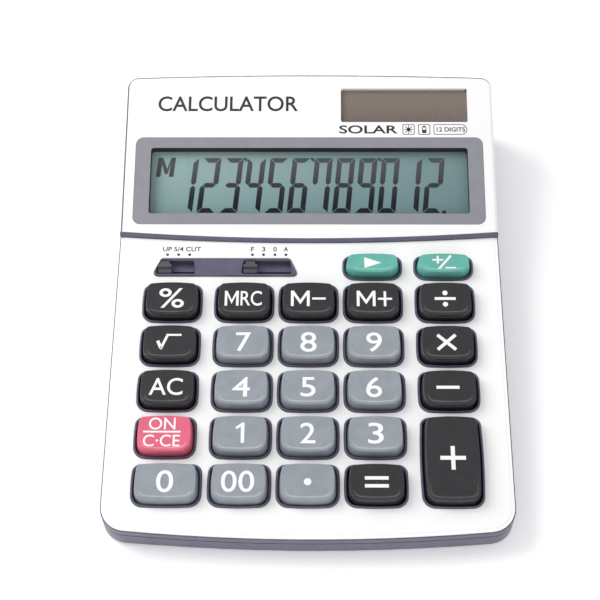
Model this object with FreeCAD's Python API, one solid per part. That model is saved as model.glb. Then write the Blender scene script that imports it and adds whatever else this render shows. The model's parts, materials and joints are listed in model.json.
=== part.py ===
import FreeCAD, Part
import math
import os

os.makedirs("parts", exist_ok=True)
Vec = FreeCAD.Vector

# ---- Overall sizes (millimetres and degrees) ----
body_width = 110.0
keypad_length = 89.4  # front edge to step, along the keypad slope
display_length = 54.8  # step to rear edge, along the display slope
keypad_slope = 4.0
display_slope = 12.5
front_height = 8.8  # top of the keypad faceplate above the table, at its front edge
step_height = 0.8  # rise from the keypad faceplate to the display cover
front_bow = 2.8
seam_bow = 2.0
rear_bow = 1.0
front_corner_radius = 7.0
rear_corner_radius = 3.5
least_radius = 0.5
near = 0.01  # edges within this of a plane count as lying in it

# ---- Housing shells ----
foot_stand = 0.6  # gap between the housing floor and the table
shell_wall = 2.4
keypad_wall = 1.3
display_wall = 1.6
floor_thickness = 1.4
parting_depth = 2.6  # parting plane below the keypad faceplate's top
groove_height = 0.35
groove_depth = 0.4
floor_edge_radius = 0.7
ridge_width = 0.9  # strip of housing that shows between the two silver covers
ridge_drop = 0.1

# ---- Silver covers ----
plate_thickness = 0.5
plate_inset = 0.3
plate_rim_width = 0.9  # stepped rim around the keypad faceplate
plate_rim_drop = 0.12
plate_seam_gap = 0.1
cover_thickness = 1.2
cover_edge_radius = 1.0
skirt_depth = 1.4  # lower edge of the cover's skirt, below the keypad plane
cover_fit = 0.1

# ---- Key grid ----
side_margin = 7.8
inner_column_gap = 1.15
outer_column_gap = 3.3
front_margin = 8.3
rear_margin = 4.3
row_gap = 1.2
top_row_depth = 8.3
zero_extra_width = 1.95

# ---- Keys and collars ----
hole_bow = 0.45
hole_rear_radius = 2.4
hole_front_radius = 3.4
collar_width = 0.6
collar_height = 0.45
collar_chamfer = 0.18
plate_hole_clearance = 0.06
key_gap = 0.35
key_height = 3.5
key_side_taper = 0.45
key_front_taper = 0.2
key_rear_taper = 0.1
key_top_round = 0.4
key_dish = 0.2
round_share = 0.3  # where the rounded top edge's middle facet lies
key_wall = 1.2
key_roof = 1.6
flange_overlap = 0.8
flange_thickness = 0.8
flange_rest_gap = 0.1
key_travel = 1.2
plunger_radius = 2.1

# ---- Rubber sheet and main board ----
sheet_thickness = 0.5
sheet_clearance = 0.3  # left under a key's flange at full travel
sheet_side_trim = 0.2  # sheet's edge beyond the outer keys
sheet_front_inset = 0.3
sheet_notch_gap = 0.6
dome_base_radius = 3.2
dome_top_radius = 2.2
dome_skin = 0.55
dome_rest_gap = 0.15
dome_hollow_taper = 0.33
pad_radius = 2.1
pad_thickness = 0.08
board_thickness = 1.0
board_side_gap = 0.9
board_front_gap = 0.4  # board's front edge ahead of the first key holes
board_rear_gap = 1.9

# ---- Slide switches ----
bezel_side_offset = 2.5
bezel_height = 0.55
bezel_depth = 5.9
bezel_rear_offset = 1.0  # from the top row's rear edge
bezel_end_slant = 2.1
bezel_nose = 0.8
bezel_nose_rise = 1.1
slot_end_margin = 1.0
slot_far_margin = 1.5
slot_spacing = 13.6
slot_depth_across = 4.3
slot_floor_depth = 1.9
slot_floor_thickness = 1.0
slot_corner_slant = 1.0
slot_bevel = 0.3
slot_corner_radius = 0.45
bezel_corner_radius = 1.1
knob_width = 3.9
knob_end_clearance = 0.35
knob_side_clearance = 0.25
knob_floor_gap = 0.15
knob_height = 1.3
knob_corner_cut = 0.6
knob_corner_length = 1.4
rounding_travel = 6.4
decimal_travel = 9.7
stem_width = 1.2
slit_from_front = 1.0  # middle of the slit, from the slot's front wall
slit_clearance = 0.1
carrier_thickness = 0.6
carrier_gap = 0.15
carrier_depth = 3.0
wiper_thickness = 0.25
wiper_finger_width = 0.6
wiper_board_gap = 0.08
wiper_plate_length = 2.8
wiper_plate_depth = 2.4
wiper_finger_length = 1.0
wiper_finger_spacing = 1.6
knob_tiers = ((0.0, -0.2), (0.55, 0.1), (0.75, None), (1.65, None), (2.0, -0.1))

# ---- Display window, crystal panel and solar cell ----
window_side_margin = 3.45
window_front_offset = 5.4
window_solar_gap = 5.2
solar_depth = 11.05
solar_rear_margin = 5.25
solar_width = 37.8
solar_side_margin = 7.65
window_corner_radius = 2.3
solar_corner_radius = 0.6
window_border_side = 4.55
window_border_front = 3.75
window_border_rear = 3.0
opening_corner_radius = 0.9
mask_thickness = 0.2
window_fit = 0.08
opening_ledge = 0.5
glass_thickness = 1.1
glass_overlap = 2.2
glass_ledge = 2.4
glass_gap = 0.05
glass_film = 0.02
frame_overlap = 1.6
frame_thickness = 1.2
frame_rim = 2.6
frame_side_gap = 0.4
frame_front_lip = 0.5
solar_thickness = 1.1
solar_overlap = 0.3
solar_gap = 0.05
flex_width = 44.0
flex_offset = -20.0
flex_thickness = 0.15
flex_board_length = 3.2
flex_gap = 0.03
flex_glass_inset = 0.4
flex_glass_overhang = 0.8
flex_bend_lead = 0.6

# ---- Fasteners ----
screw_fit = 0.05
screw_hole_clearance = 0.25
case_screw_radius = 1.0
case_head_radius = 1.9
case_head_height = 1.3
case_boss_radius = 2.2
boss_wall = 0.8
front_screw_side = 15.0
front_screw_from_edge = 5.0
front_seat_height = 2.5
front_boss_meet = 4.3
rear_screw_side = 5.0
rear_screw_v = 45.5
rear_seat_height = 9.0
rear_boss_meet = 12.0
front_screw_length = 4.0
rear_screw_length = 7.0
head_recess_clearance = 0.3
board_screw_radius = 0.8
board_head_radius = 1.5
board_head_height = 0.9
board_boss_radius = 1.9
board_boss_side = 5.0
board_screw_length = 3.2
board_screw_rows = (0.12, 0.5, 0.88)  # shares of the board's depth
board_corner_radius = 1.5
screw_tip_room = 0.3
slot_arm_share = 0.65  # cross recess: half its span, as a share of the head's radius
slot_blade_share = 0.28  # cross recess: half its width, as a share of the shank's radius
frame_boss_radius = 1.5
frame_boss_side = 4.2
frame_screw_radius = 0.7
frame_screw_length = 2.6
frame_head_radius = 1.3
frame_head_height = 0.8

# ---- Battery bay ----
cell_radius = 5.8
cell_height = 5.4
cell_step = 0.5
bay_x = -26.0
bay_width = 24.0
bay_depth = 16.0
bay_wall = 1.2
bay_from_rear = 26.0
bay_head_room = 0.9
cell_lift = 0.4
contact_thickness = 0.3
contact_width = 5.0
cover_plate_gap = 0.2
cover_tab_length = 6.0
cover_tab_width = 9.0
cover_screw_inset = 2.6
cover_boss_radius = 2.3
cover_boss_height = 4.5
cover_tab_step = 0.5  # how much thinner the tab is than the cover
cover_tab_fit = 0.05
cover_screw_length = 3.6
cover_head_height = 0.4
grip_grooves = 5
grip_pitch = 1.2
grip_width = 0.5
grip_depth = 0.25
grip_length = 8.0
grip_inset = 3.0
cell_edge_round = 0.3
cell_cap_inset = 1.0
leaf_front = 5.0
leaf_rear = 7.0
contact_gap = 0.05
contact_standoff = 1.4
tongue_width = 2.0
tongue_height = 0.8
tongue_lift = 1.6
lead_radius = 0.45
lead_clearance = 0.3
lead_spacing = 3.0
lead_drop = 1.6  # solar leads run this far below the board
lead_end_inset = 6.0  # where the leads meet the board, ahead of the step

# ---- Feet ----
foot_radius = 4.0
foot_recess = 0.6
foot_side_inset = 9.0
foot_end_inset = 20.0
foot_edge = 0.3
foot_fit = 0.1

# ---- Board components ----
blob_radius = 7.0
blob_height = 1.6
blob_x = -8.0
blob_share = 0.6
blob_margin = 2.0
capacitor_radius = 2.0
capacitor_height = 3.6
capacitor_round = 0.3
capacitor_places = (24.0, 31.0)
capacitor_from_rear = 9.0
resistor_radius = 0.75
resistor_length = 3.4
resistor_pitch = 3.0
resistor_count = 5
resistor_x = 12.0
resistor_share = 0.75
component_gap = 0.05

# ---- Worked out from the sizes above ----
keypad_angle = math.radians(keypad_slope)
display_angle = math.radians(display_slope)
keypad_run = keypad_length * math.cos(keypad_angle)
display_run = display_length * math.cos(display_angle)
body_depth = plate_inset + keypad_run + display_run
front_y = -body_depth / 2 + plate_inset
seam_y = front_y + keypad_run
display_z = front_height + keypad_length * math.sin(keypad_angle) + step_height
seam_radius = (body_width ** 2 / 4 + seam_bow ** 2) / (2 * seam_bow)
far = body_width + body_depth

hole_width = (body_width - 2 * side_margin - 2 * inner_column_gap - 2 * outer_column_gap) / 5
inner_column = hole_width + inner_column_gap
outer_column = inner_column + hole_width + outer_column_gap
column_centres = (-outer_column, -inner_column, 0.0, inner_column, outer_column)
row_space = keypad_length - front_margin - rear_margin - top_row_depth
hole_depth = (row_space - 5 * row_gap) / 5
row_pitch = hole_depth + row_gap
top_row_front = front_margin + 5 * row_pitch

wall_underside = -plate_thickness - keypad_wall
flange_top = wall_underside - flange_rest_gap
flange_bottom = flange_top - flange_thickness
sheet_top = flange_bottom - key_travel - sheet_clearance
board_top = sheet_top - sheet_thickness
board_bottom = board_top - board_thickness
board_half_width = body_width / 2 - shell_wall - board_side_gap
board_front = front_margin - board_front_gap
board_rear = keypad_length - board_rear_gap
board_depth = board_rear - board_front
floor_top = foot_stand + floor_thickness
tab_top = floor_top - cover_tab_step
cell_bottom = floor_top + cell_lift
bay_ceiling = cell_bottom + cell_height + bay_head_room
cover_screw_x = bay_x + bay_width / 2 + cover_tab_length - cover_screw_inset

window_half_width = body_width / 2 - window_side_margin
window_rear = display_length - solar_rear_margin - solar_depth - window_solar_gap
opening_half_width = window_half_width - window_border_side
opening_front = window_front_offset + window_border_front
opening_rear = window_rear - window_border_rear
window_thickness = cover_thickness - mask_thickness
glass_top = -cover_thickness - display_wall - glass_gap
glass_half_width = opening_half_width + glass_overlap
glass_front = opening_front - glass_overlap
glass_rear = opening_rear + glass_overlap
rear_glass_top = glass_top - glass_thickness
frame_top = rear_glass_top - glass_thickness - glass_gap
frame_bottom = frame_top - frame_thickness
solar_right = body_width / 2 - solar_side_margin
solar_left = solar_right - solar_width
solar_rear = display_length - solar_rear_margin
solar_front = solar_rear - solar_depth

bezel_left = -body_width / 2 + side_margin + bezel_side_offset
rounding_slot = knob_width + rounding_travel + 2 * knob_end_clearance
decimal_slot = knob_width + decimal_travel + 2 * knob_end_clearance
rounding_slot_left = bezel_left + slot_end_margin
decimal_slot_left = rounding_slot_left + rounding_slot + slot_spacing
bezel_right = decimal_slot_left + decimal_slot + slot_far_margin
bezel_rear = top_row_front + top_row_depth - bezel_rear_offset
bezel_front = bezel_rear - bezel_depth
slot_centre = (bezel_front + bezel_rear) / 2
slit_centre = slot_centre - slot_depth_across / 2 + slit_from_front
slot_floor = -slot_floor_depth
slot_floor_under = slot_floor - slot_floor_thickness

# Each key: name, column, row (0 is the top row), rows it spans, extra width to the right
key_list = [
    ("key_backspace", 3, 0, 1, 0.0),
    ("key_sign", 4, 0, 1, 0.0),
    ("key_percent", 0, 1, 1, 0.0),
    ("key_memory_recall", 1, 1, 1, 0.0),
    ("key_memory_minus", 2, 1, 1, 0.0),
    ("key_memory_plus", 3, 1, 1, 0.0),
    ("key_divide", 4, 1, 1, 0.0),
    ("key_root", 0, 2, 1, 0.0),
    ("key_7", 1, 2, 1, 0.0),
    ("key_8", 2, 2, 1, 0.0),
    ("key_9", 3, 2, 1, 0.0),
    ("key_multiply", 4, 2, 1, 0.0),
    ("key_all_clear", 0, 3, 1, 0.0),
    ("key_4", 1, 3, 1, 0.0),
    ("key_5", 2, 3, 1, 0.0),
    ("key_6", 3, 3, 1, 0.0),
    ("key_minus", 4, 3, 1, 0.0),
    ("key_on_clear", 0, 4, 1, 0.0),
    ("key_1", 1, 4, 1, 0.0),
    ("key_2", 2, 4, 1, 0.0),
    ("key_3", 3, 4, 1, 0.0),
    ("key_0", 0, 5, 1, zero_extra_width),
    ("key_00", 1, 5, 1, 0.0),
    ("key_point", 2, 5, 1, 0.0),
    ("key_equals", 3, 5, 1, 0.0),
    ("key_plus", 4, 5, 2, 0.0),
]


def save(name, shape):
    shape.exportStep("parts/" + name + ".step")


def box(x_range, y_range, z_range):
    corner = Vec(x_range[0], y_range[0], z_range[0])
    sides = [pair[1] - pair[0] for pair in (x_range, y_range, z_range)]
    return Part.makeBox(sides[0], sides[1], sides[2], corner)


def rod(x, y, low, high, radius):
    return Part.makeCylinder(radius, high - low, Vec(x, y, low))


def fuse_all(shapes):
    return shapes[0].multiFuse(shapes[1:])


def on_keypad(shape):
    # Local x, y along the slope and z along its normal, moved to the keypad surface
    placed = shape.copy()
    placed.rotate(Vec(0, 0, 0), Vec(1, 0, 0), keypad_slope)
    placed.translate(Vec(0, front_y, front_height))
    return placed


def on_display(shape):
    placed = shape.copy()
    placed.rotate(Vec(0, 0, 0), Vec(1, 0, 0), display_slope)
    placed.translate(Vec(0, seam_y, display_z))
    return placed


def keypad_slab(low, high):
    return on_keypad(box((-far, far), (-far, far), (low, high)))


def display_slab(low, high):
    return on_display(box((-far, far), (-far, far), (low, high)))


def behind_seam(offset):
    # The step between the two covers is an arc that bows towards the front
    centre = Vec(0, seam_y + seam_radius, -far)
    return Part.makeCylinder(seam_radius - offset, 2 * far, centre)


def upright_edges(solid, at_front):
    chosen = []
    for edge in solid.Edges:
        size = edge.BoundBox
        upright = size.ZLength > 1 and size.XLength < near and size.YLength < near
        if upright and (edge.CenterOfMass.y < 0) == at_front:
            chosen.append(edge)
    return chosen


def plan_prism(inset, low, high):
    # The body's outline from above: straight sides, bowed ends and rounded corners
    side = body_width / 2 - inset
    front = -body_depth / 2 + inset
    rear = body_depth / 2 - inset
    front_side = front + front_bow
    rear_side = rear - rear_bow
    front_left = Vec(-side, front_side, low)
    front_right = Vec(side, front_side, low)
    rear_right = Vec(side, rear_side, low)
    rear_left = Vec(-side, rear_side, low)
    edges = [
        Part.Arc(front_left, Vec(0, front, low), front_right).toShape(),
        Part.makeLine(front_right, rear_right),
        Part.Arc(rear_right, Vec(0, rear, low), rear_left).toShape(),
        Part.makeLine(rear_left, front_left),
    ]
    prism = Part.Face(Part.Wire(edges)).extrude(Vec(0, 0, high - low))
    front_radius = max(front_corner_radius - inset, least_radius)
    rear_radius = max(rear_corner_radius - inset, least_radius)
    prism = prism.makeFillet(front_radius, upright_edges(prism, True))
    return prism.makeFillet(rear_radius, upright_edges(prism, False))


def arc_edge(centre, radius, start, end, height):
    points = []
    for angle in (start, (start + end) / 2, end):
        offset = Vec(radius * math.cos(angle), radius * math.sin(angle), height)
        points.append(Vec(centre[0], centre[1], 0) + offset)
    return Part.Arc(points[0], points[1], points[2]).toShape()


def barrel_corner(width, depth, bow, radius):
    # A corner circle that is tangent inside the two bowed sides
    end_radius = (width ** 2 / 4 + bow ** 2) / (2 * bow)
    side_radius = (depth ** 2 / 4 + bow ** 2) / (2 * bow)
    end_centre = (0.0, depth / 2 - end_radius)
    side_centre = (width / 2 - side_radius, 0.0)
    to_end = end_radius - radius
    to_side = side_radius - radius
    apart_x = side_centre[0] - end_centre[0]
    apart_y = side_centre[1] - end_centre[1]
    apart = math.hypot(apart_x, apart_y)
    along = (apart ** 2 + to_end ** 2 - to_side ** 2) / (2 * apart)
    across = math.sqrt(to_end ** 2 - along ** 2)
    centre_x = end_centre[0] + (along * apart_x - across * apart_y) / apart
    centre_y = end_centre[1] + (along * apart_y + across * apart_x) / apart
    if centre_x < 0 or centre_y < 0:
        centre_x = end_centre[0] + (along * apart_x + across * apart_y) / apart
        centre_y = end_centre[1] + (along * apart_y - across * apart_x) / apart
    end_angle = math.atan2(centre_y - end_centre[1], centre_x - end_centre[0])
    side_angle = math.atan2(centre_y - side_centre[1], centre_x - side_centre[0])
    return (centre_x, centre_y), end_angle, side_angle, end_centre, end_radius, side_centre, side_radius


def barrel_wire(x, y, width, depth, height, front_radius, rear_radius):
    # A rounded rectangle whose four sides swell outwards
    rear = barrel_corner(width, depth, hole_bow, rear_radius)
    front = barrel_corner(width, depth, hole_bow, front_radius)
    half = math.pi
    (rear_x, rear_y), rear_end, rear_side, end_centre, end_radius, side_centre, side_radius = rear
    (front_x, front_y_offset), front_end, front_side = front[:3]
    arcs = [
        (side_centre[0], 0, side_radius, -front_side, rear_side),
        (rear_x, rear_y, rear_radius, rear_side, rear_end),
        (0, end_centre[1], end_radius, rear_end, half - rear_end),
        (-rear_x, rear_y, rear_radius, half - rear_end, half - rear_side),
        (-side_centre[0], 0, side_radius, half - rear_side, half + front_side),
        (-front_x, -front_y_offset, front_radius, half + front_side, half + front_end),
        (0, -end_centre[1], end_radius, half + front_end, 2 * half - front_end),
        (front_x, -front_y_offset, front_radius, -front_end, -front_side),
    ]
    edges = [arc_edge((x + cx, y + cy), radius, start, end, height) for cx, cy, radius, start, end in arcs]
    return Part.Wire(edges)


def barrel_prism(place, inset, low, high):
    x, y, width, depth = place
    front_radius = max(hole_front_radius - inset, least_radius)
    rear_radius = max(hole_rear_radius - inset, least_radius)
    wire = barrel_wire(x, y, width - 2 * inset, depth - 2 * inset, low, front_radius, rear_radius)
    return Part.Face(wire).extrude(Vec(0, 0, high - low))


def barrel_frustum(place, sections):
    # Sections: height, inset at the sides, at the front and at the rear
    wires = []
    x, y, width, depth = place
    for height, inset, front_inset, rear_inset in sections:
        front_radius = max(hole_front_radius - inset, least_radius)
        rear_radius = max(hole_rear_radius - inset, least_radius)
        shift = (front_inset - rear_inset) / 2
        new_depth = depth - rear_inset - front_inset
        new_width = width - 2 * inset
        wires.append(barrel_wire(x, y + shift, new_width, new_depth, height, front_radius, rear_radius))
    return Part.makeLoft(wires, True, True)


def key_place(column, row, span, extra):
    width = hole_width + extra
    x = column_centres[column] + extra / 2
    if row == 0:
        return x, top_row_front + top_row_depth / 2, width, top_row_depth
    front = front_margin + (5 - row) * row_pitch
    depth = hole_depth + (span - 1) * row_pitch
    return x, front + depth / 2, width, depth


def rounded_box(x_range, y_range, z_range, radius):
    solid = box(x_range, y_range, z_range)
    edges = [edge for edge in solid.Edges if edge.BoundBox.ZLength > edge.BoundBox.DiagonalLength * 0.99]
    return solid.makeFillet(radius, edges)


def outline_prism(points, low, high):
    corners = [Vec(x, y, low) for x, y in points]
    wire = Part.makePolygon(corners + corners[:1])
    return Part.Face(wire).extrude(Vec(0, 0, high - low))


def soft_wire(points, radius, height):
    # The outline of a polygon with every corner rounded
    edges = []
    arcs = []
    for index, corner in enumerate(points):
        here = Vec(corner[0], corner[1], height)
        before = Vec(points[index - 1][0], points[index - 1][1], height) - here
        following = points[(index + 1) % len(points)]
        after = Vec(following[0], following[1], height) - here
        before.normalize()
        after.normalize()
        half_angle = before.getAngle(after) / 2
        inward = before + after
        inward.normalize()
        start = here + before * (radius / math.tan(half_angle))
        end = here + after * (radius / math.tan(half_angle))
        nearest = here + inward * (radius / math.sin(half_angle) - radius)
        arcs.append((start, nearest, end))
    for index, (start, nearest, end) in enumerate(arcs):
        edges.append(Part.Arc(start, nearest, end).toShape())
        edges.append(Part.makeLine(end, arcs[(index + 1) % len(arcs)][0]))
    return Part.Wire(edges)


def soft_loft(sections):
    # Sections: outline points, corner radius, height
    wires = [soft_wire(points, radius, height) for points, radius, height in sections]
    return Part.makeLoft(wires, True, True)


def screw(x, y, seat, length, radius, head_radius, head_height):
    # Driven upwards: the head's flat bears on the seat height
    head = rod(x, y, seat - head_height, seat, head_radius)
    shank = rod(x, y, seat, seat + length, radius)
    arm = head_radius * slot_arm_share
    blade = radius * slot_blade_share
    depth = head_height / 2
    bottom = seat - head_height
    first = box((x - arm, x + arm), (y - blade, y + blade), (bottom, bottom + depth))
    second = box((x - blade, x + blade), (y - arm, y + arm), (bottom, bottom + depth))
    return head.fuse(shank).cut(first).cut(second)


key_places = [(name, key_place(column, row, span, extra)) for name, column, row, span, extra in key_list]
tall = 4 * front_height + body_depth


def make_key(place):
    base = collar_width + key_gap
    side = base + key_side_taper
    front = base + key_front_taper
    rear = base + key_rear_taper
    shoulder = key_height - key_top_round
    low_part = barrel_prism(place, base, flange_top, 0)
    rise = barrel_frustum(place, [(0, base, base, base), (shoulder, side, front, rear)])
    part_round = key_top_round * round_share
    crown = barrel_frustum(place, [
        (shoulder, side, front, rear),
        (key_height - part_round, side + part_round, front + part_round, rear + part_round),
        (key_height, side + key_top_round, front + key_top_round, rear + key_top_round),
    ])
    flange_inset = collar_width - flange_overlap
    flange = barrel_prism(place, flange_inset, flange_bottom, flange_top)
    inside = barrel_prism(place, base + key_wall, flange_bottom, key_height - key_roof)
    plunger = rod(place[0], place[1], flange_bottom, key_height - key_roof, plunger_radius)
    key = fuse_all([low_part, rise, crown, flange])
    return key.cut(inside.cut(plunger)).removeSplitter().cut(key_trough(place, front, rear))


def key_trough(place, front, rear):
    # The key's top is a shallow trough across, so its front and rear edges stand proud
    x, y, width, depth = place
    half = (depth - front - rear) / 2 - key_top_round
    radius = (half ** 2 + key_dish ** 2) / (2 * key_dish)
    start = Vec(x - width, y + (front - rear) / 2, key_height - key_dish + radius)
    return Part.makeCylinder(radius, 2 * width, start, Vec(1, 0, 0))


def slot_outline(left, length, inset):
    front = slot_centre - slot_depth_across / 2 + inset
    rear = slot_centre + slot_depth_across / 2 - inset
    right = left + length
    return [
        (left + inset, front),
        (right - inset, front),
        (right - inset, front + slot_corner_slant),
        (right - slot_corner_slant / 2 - inset, rear),
        (left + slot_corner_slant / 2 + inset, rear),
        (left + inset, front + slot_corner_slant),
    ]


def bezel_outline(inset):
    left = bezel_left + inset
    right = bezel_right - inset
    front = bezel_front + inset
    rear = bezel_rear - inset
    return [
        (left + bezel_nose, front),
        (right - bezel_nose, front),
        (right, front + bezel_nose_rise),
        (right - bezel_end_slant, rear),
        (left + bezel_end_slant, rear),
        (left, front + bezel_nose_rise),
    ]


def case_boss_places():
    front = -body_depth / 2 + front_screw_from_edge
    rear = seam_y + rear_screw_v * math.cos(display_angle)
    front_x = body_width / 2 - front_screw_side
    rear_x = body_width / 2 - rear_screw_side
    places = []
    for side in (-1, 1):
        places.append((side * front_x, front, front_seat_height, front_boss_meet))
        places.append((side * rear_x, rear, rear_seat_height, rear_boss_meet))
    return places


def board_boss_places():
    x = body_width / 2 - board_boss_side
    return [(side * x, board_front + share * board_depth) for side in (-1, 1) for share in board_screw_rows]


def frame_boss_places():
    x = body_width / 2 - frame_boss_side
    front = glass_front + frame_boss_radius
    rear = glass_rear - frame_boss_radius
    return [(side * x, v) for side in (-1, 1) for v in (front, rear)]


def body_outer():
    prism = plan_prism(0, 0, tall)
    keypad_part = prism.common(keypad_slab(-parting_depth, -plate_thickness))
    display_part = prism.common(behind_seam(0))
    display_part = display_part.common(keypad_slab(-parting_depth, far))
    display_part = display_part.common(display_slab(-far, -ridge_drop))
    outer = keypad_part.fuse(display_part)
    core = plan_prism(cover_thickness + cover_fit, 0, tall).common(display_slab(-far, -cover_thickness))
    cover_space = behind_seam(ridge_width).common(keypad_slab(-skirt_depth - cover_fit, far)).cut(core)
    return outer.cut(cover_space).removeSplitter()


def upper_cavity():
    inner = plan_prism(shell_wall, -1, tall)
    keypad_part = inner.common(keypad_slab(-far, wall_underside))
    display_part = inner.common(behind_seam(shell_wall))
    display_part = display_part.common(display_slab(-far, -cover_thickness - display_wall))
    return keypad_part.fuse(display_part)


def make_upper_housing():
    outer = body_outer()
    shell = outer.cut(upper_cavity())
    inner = plan_prism(shell_wall + cover_fit, 0, tall)
    additions = []
    for x, y, seat, meet in case_boss_places():
        boss = rod(x, y, meet, tall, case_boss_radius).common(inner)
        under = display_slab(-far, -cover_thickness) if y > seam_y else keypad_slab(-far, -plate_thickness)
        additions.append(boss.common(under))
    for x, v in board_boss_places():
        additions.append(on_keypad(rod(x, v, board_top, -plate_thickness, board_boss_radius)))
    for x, v in frame_boss_places():
        additions.append(on_display(rod(x, v, frame_top, -cover_thickness, frame_boss_radius)))
    soft_radius = bezel_corner_radius - collar_chamfer
    bezel = soft_loft([
        (bezel_outline(0), bezel_corner_radius, slot_floor_under),
        (bezel_outline(0), bezel_corner_radius, bezel_height - collar_chamfer),
        (bezel_outline(collar_chamfer), soft_radius, bezel_height),
    ])
    additions.append(on_keypad(bezel))
    for name, place in key_places:
        low = barrel_prism(place, 0, wall_underside, collar_height - collar_chamfer)
        cap = barrel_frustum(place, [
            (collar_height - collar_chamfer, 0, 0, 0),
            (collar_height, collar_chamfer, collar_chamfer, collar_chamfer),
        ])
        additions.append(on_keypad(low.fuse(cap)))
    shell = shell.multiFuse(additions)
    cuts = []
    flare = collar_width - collar_chamfer
    for name, place in key_places:
        cuts.append(on_keypad(barrel_prism(place, collar_width, wall_underside - 1, collar_height + 1)))
        cuts.append(on_keypad(barrel_frustum(place, [
            (collar_height - collar_chamfer, collar_width, collar_width, collar_width),
            (collar_height, flare, flare, flare),
        ])))
    for left, length in ((rounding_slot_left, rounding_slot), (decimal_slot_left, decimal_slot)):
        cuts.append(on_keypad(soft_loft([
            (slot_outline(left, length, 0), slot_corner_radius, slot_floor),
            (slot_outline(left, length, 0), slot_corner_radius, bezel_height - slot_bevel),
            (slot_outline(left, length, -slot_bevel), slot_corner_radius + slot_bevel, bezel_height),
        ])))
        slit_x = (left + knob_end_clearance, left + length - knob_end_clearance)
        half_slit = stem_width / 2 + slit_clearance
        slit_y = (slit_centre - half_slit, slit_centre + half_slit)
        cuts.append(on_keypad(box(slit_x, slit_y, (slot_floor_under - 1, slot_floor + slit_clearance))))
    opening_x = (-opening_half_width - opening_ledge, opening_half_width + opening_ledge)
    opening_y = (opening_front - opening_ledge, opening_rear + opening_ledge)
    through = (glass_top - 1, 1)
    cuts.append(on_display(rounded_box(opening_x, opening_y, through, opening_corner_radius)))
    cell_x = (solar_left - solar_overlap - window_fit, solar_right + solar_overlap + window_fit)
    cell_y = (solar_front - solar_overlap - window_fit, solar_rear + solar_overlap + window_fit)
    cuts.append(on_display(box(cell_x, cell_y, (-cover_thickness - solar_thickness - solar_gap, 0))))
    solar_middle = (solar_front + solar_rear) / 2
    for x in solar_lead_x():
        cuts.append(on_display(rod(x, solar_middle, -far / 2, 0, lead_radius + lead_clearance)))
    for x, y, seat, meet in case_boss_places():
        length = front_screw_length if y < seam_y else rear_screw_length
        cuts.append(rod(x, y, seat, seat + length + screw_tip_room, case_screw_radius + screw_fit))
    for x, v in board_boss_places():
        pilot_top = board_bottom + board_screw_length + screw_tip_room
        cuts.append(on_keypad(rod(x, v, board_bottom, pilot_top, board_screw_radius + screw_fit)))
    for x, v in frame_boss_places():
        pilot_top = frame_bottom + frame_screw_length + screw_tip_room
        cuts.append(on_display(rod(x, v, frame_bottom, pilot_top, frame_screw_radius + screw_fit)))
    return shell.cut(cuts[0].multiFuse(cuts[1:]))


def solar_lead_x():
    middle = (solar_left + solar_right) / 2
    return (middle - lead_spacing / 2, middle + lead_spacing / 2)


def bay_centre_y():
    return body_depth / 2 - bay_from_rear


def bay_box(grow, low, high):
    x_range = (bay_x - bay_width / 2 - grow, bay_x + bay_width / 2 + grow)
    y_range = (bay_centre_y() - bay_depth / 2 - grow, bay_centre_y() + bay_depth / 2 + grow)
    return box(x_range, y_range, (low, high))


def make_lower_housing():
    tub = plan_prism(0, foot_stand, tall)
    bottom_edges = [edge for edge in tub.Edges if edge.BoundBox.ZMax < foot_stand + near]
    tub = tub.makeFillet(floor_edge_radius, bottom_edges)
    tub = tub.common(keypad_slab(-far, -parting_depth))
    groove = plan_prism(-1, -1, tall).cut(plan_prism(groove_depth, -2, tall + 1))
    tub = tub.cut(groove.common(keypad_slab(-parting_depth - groove_height, far)))
    shell = tub.cut(plan_prism(shell_wall, floor_top, tall))
    additions = []
    for x, y, seat, meet in case_boss_places():
        boss = rod(x, y, foot_stand, meet - screw_fit, case_head_radius + head_recess_clearance + boss_wall)
        additions.append(boss.common(tub))
    additions.append(bay_box(bay_wall, foot_stand, bay_ceiling + bay_wall))
    boss_top = floor_top + cover_boss_height
    additions.append(rod(cover_screw_x, bay_centre_y(), foot_stand, boss_top, cover_boss_radius))
    shell = shell.multiFuse(additions)
    cuts = []
    for x, y, seat, meet in case_boss_places():
        cuts.append(rod(x, y, -1, seat, case_head_radius + head_recess_clearance))
        cuts.append(rod(x, y, seat - case_head_height / 2, tall, case_screw_radius + screw_hole_clearance))
    cuts.append(bay_box(0, -1, bay_ceiling))
    tab_x = (bay_x, bay_x + bay_width / 2 + cover_tab_length)
    tab_y = (bay_centre_y() - cover_tab_width / 2, bay_centre_y() + cover_tab_width / 2)
    cuts.append(box(tab_x, tab_y, (-1, tab_top)))
    screw_top = foot_stand + cover_screw_length + 2 * screw_tip_room + cover_head_height
    cuts.append(rod(cover_screw_x, bay_centre_y(), foot_stand, screw_top, board_screw_radius + screw_fit))
    for x, y in foot_places():
        cuts.append(rod(x, y, -1, foot_stand + foot_recess, foot_radius + foot_fit))
    for x in cell_lead_x():
        start = Vec(x, bay_centre_y() - bay_depth / 2, cell_lead_z())
        cuts.append(Part.makeCylinder(lead_radius + lead_clearance, bay_wall + 2, start, Vec(0, -1, 0)))
    return shell.cut(cuts[0].multiFuse(cuts[1:]))


def foot_places():
    x = body_width / 2 - foot_side_inset
    y = body_depth / 2 - foot_end_inset
    return [(sx * x, sy * y) for sx in (-1, 1) for sy in (-1, 1)]


def cell_lead_x():
    return (bay_x - lead_spacing, bay_x + lead_spacing)


def cell_lead_z():
    return bay_ceiling - contact_thickness - lead_radius - lead_clearance


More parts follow.
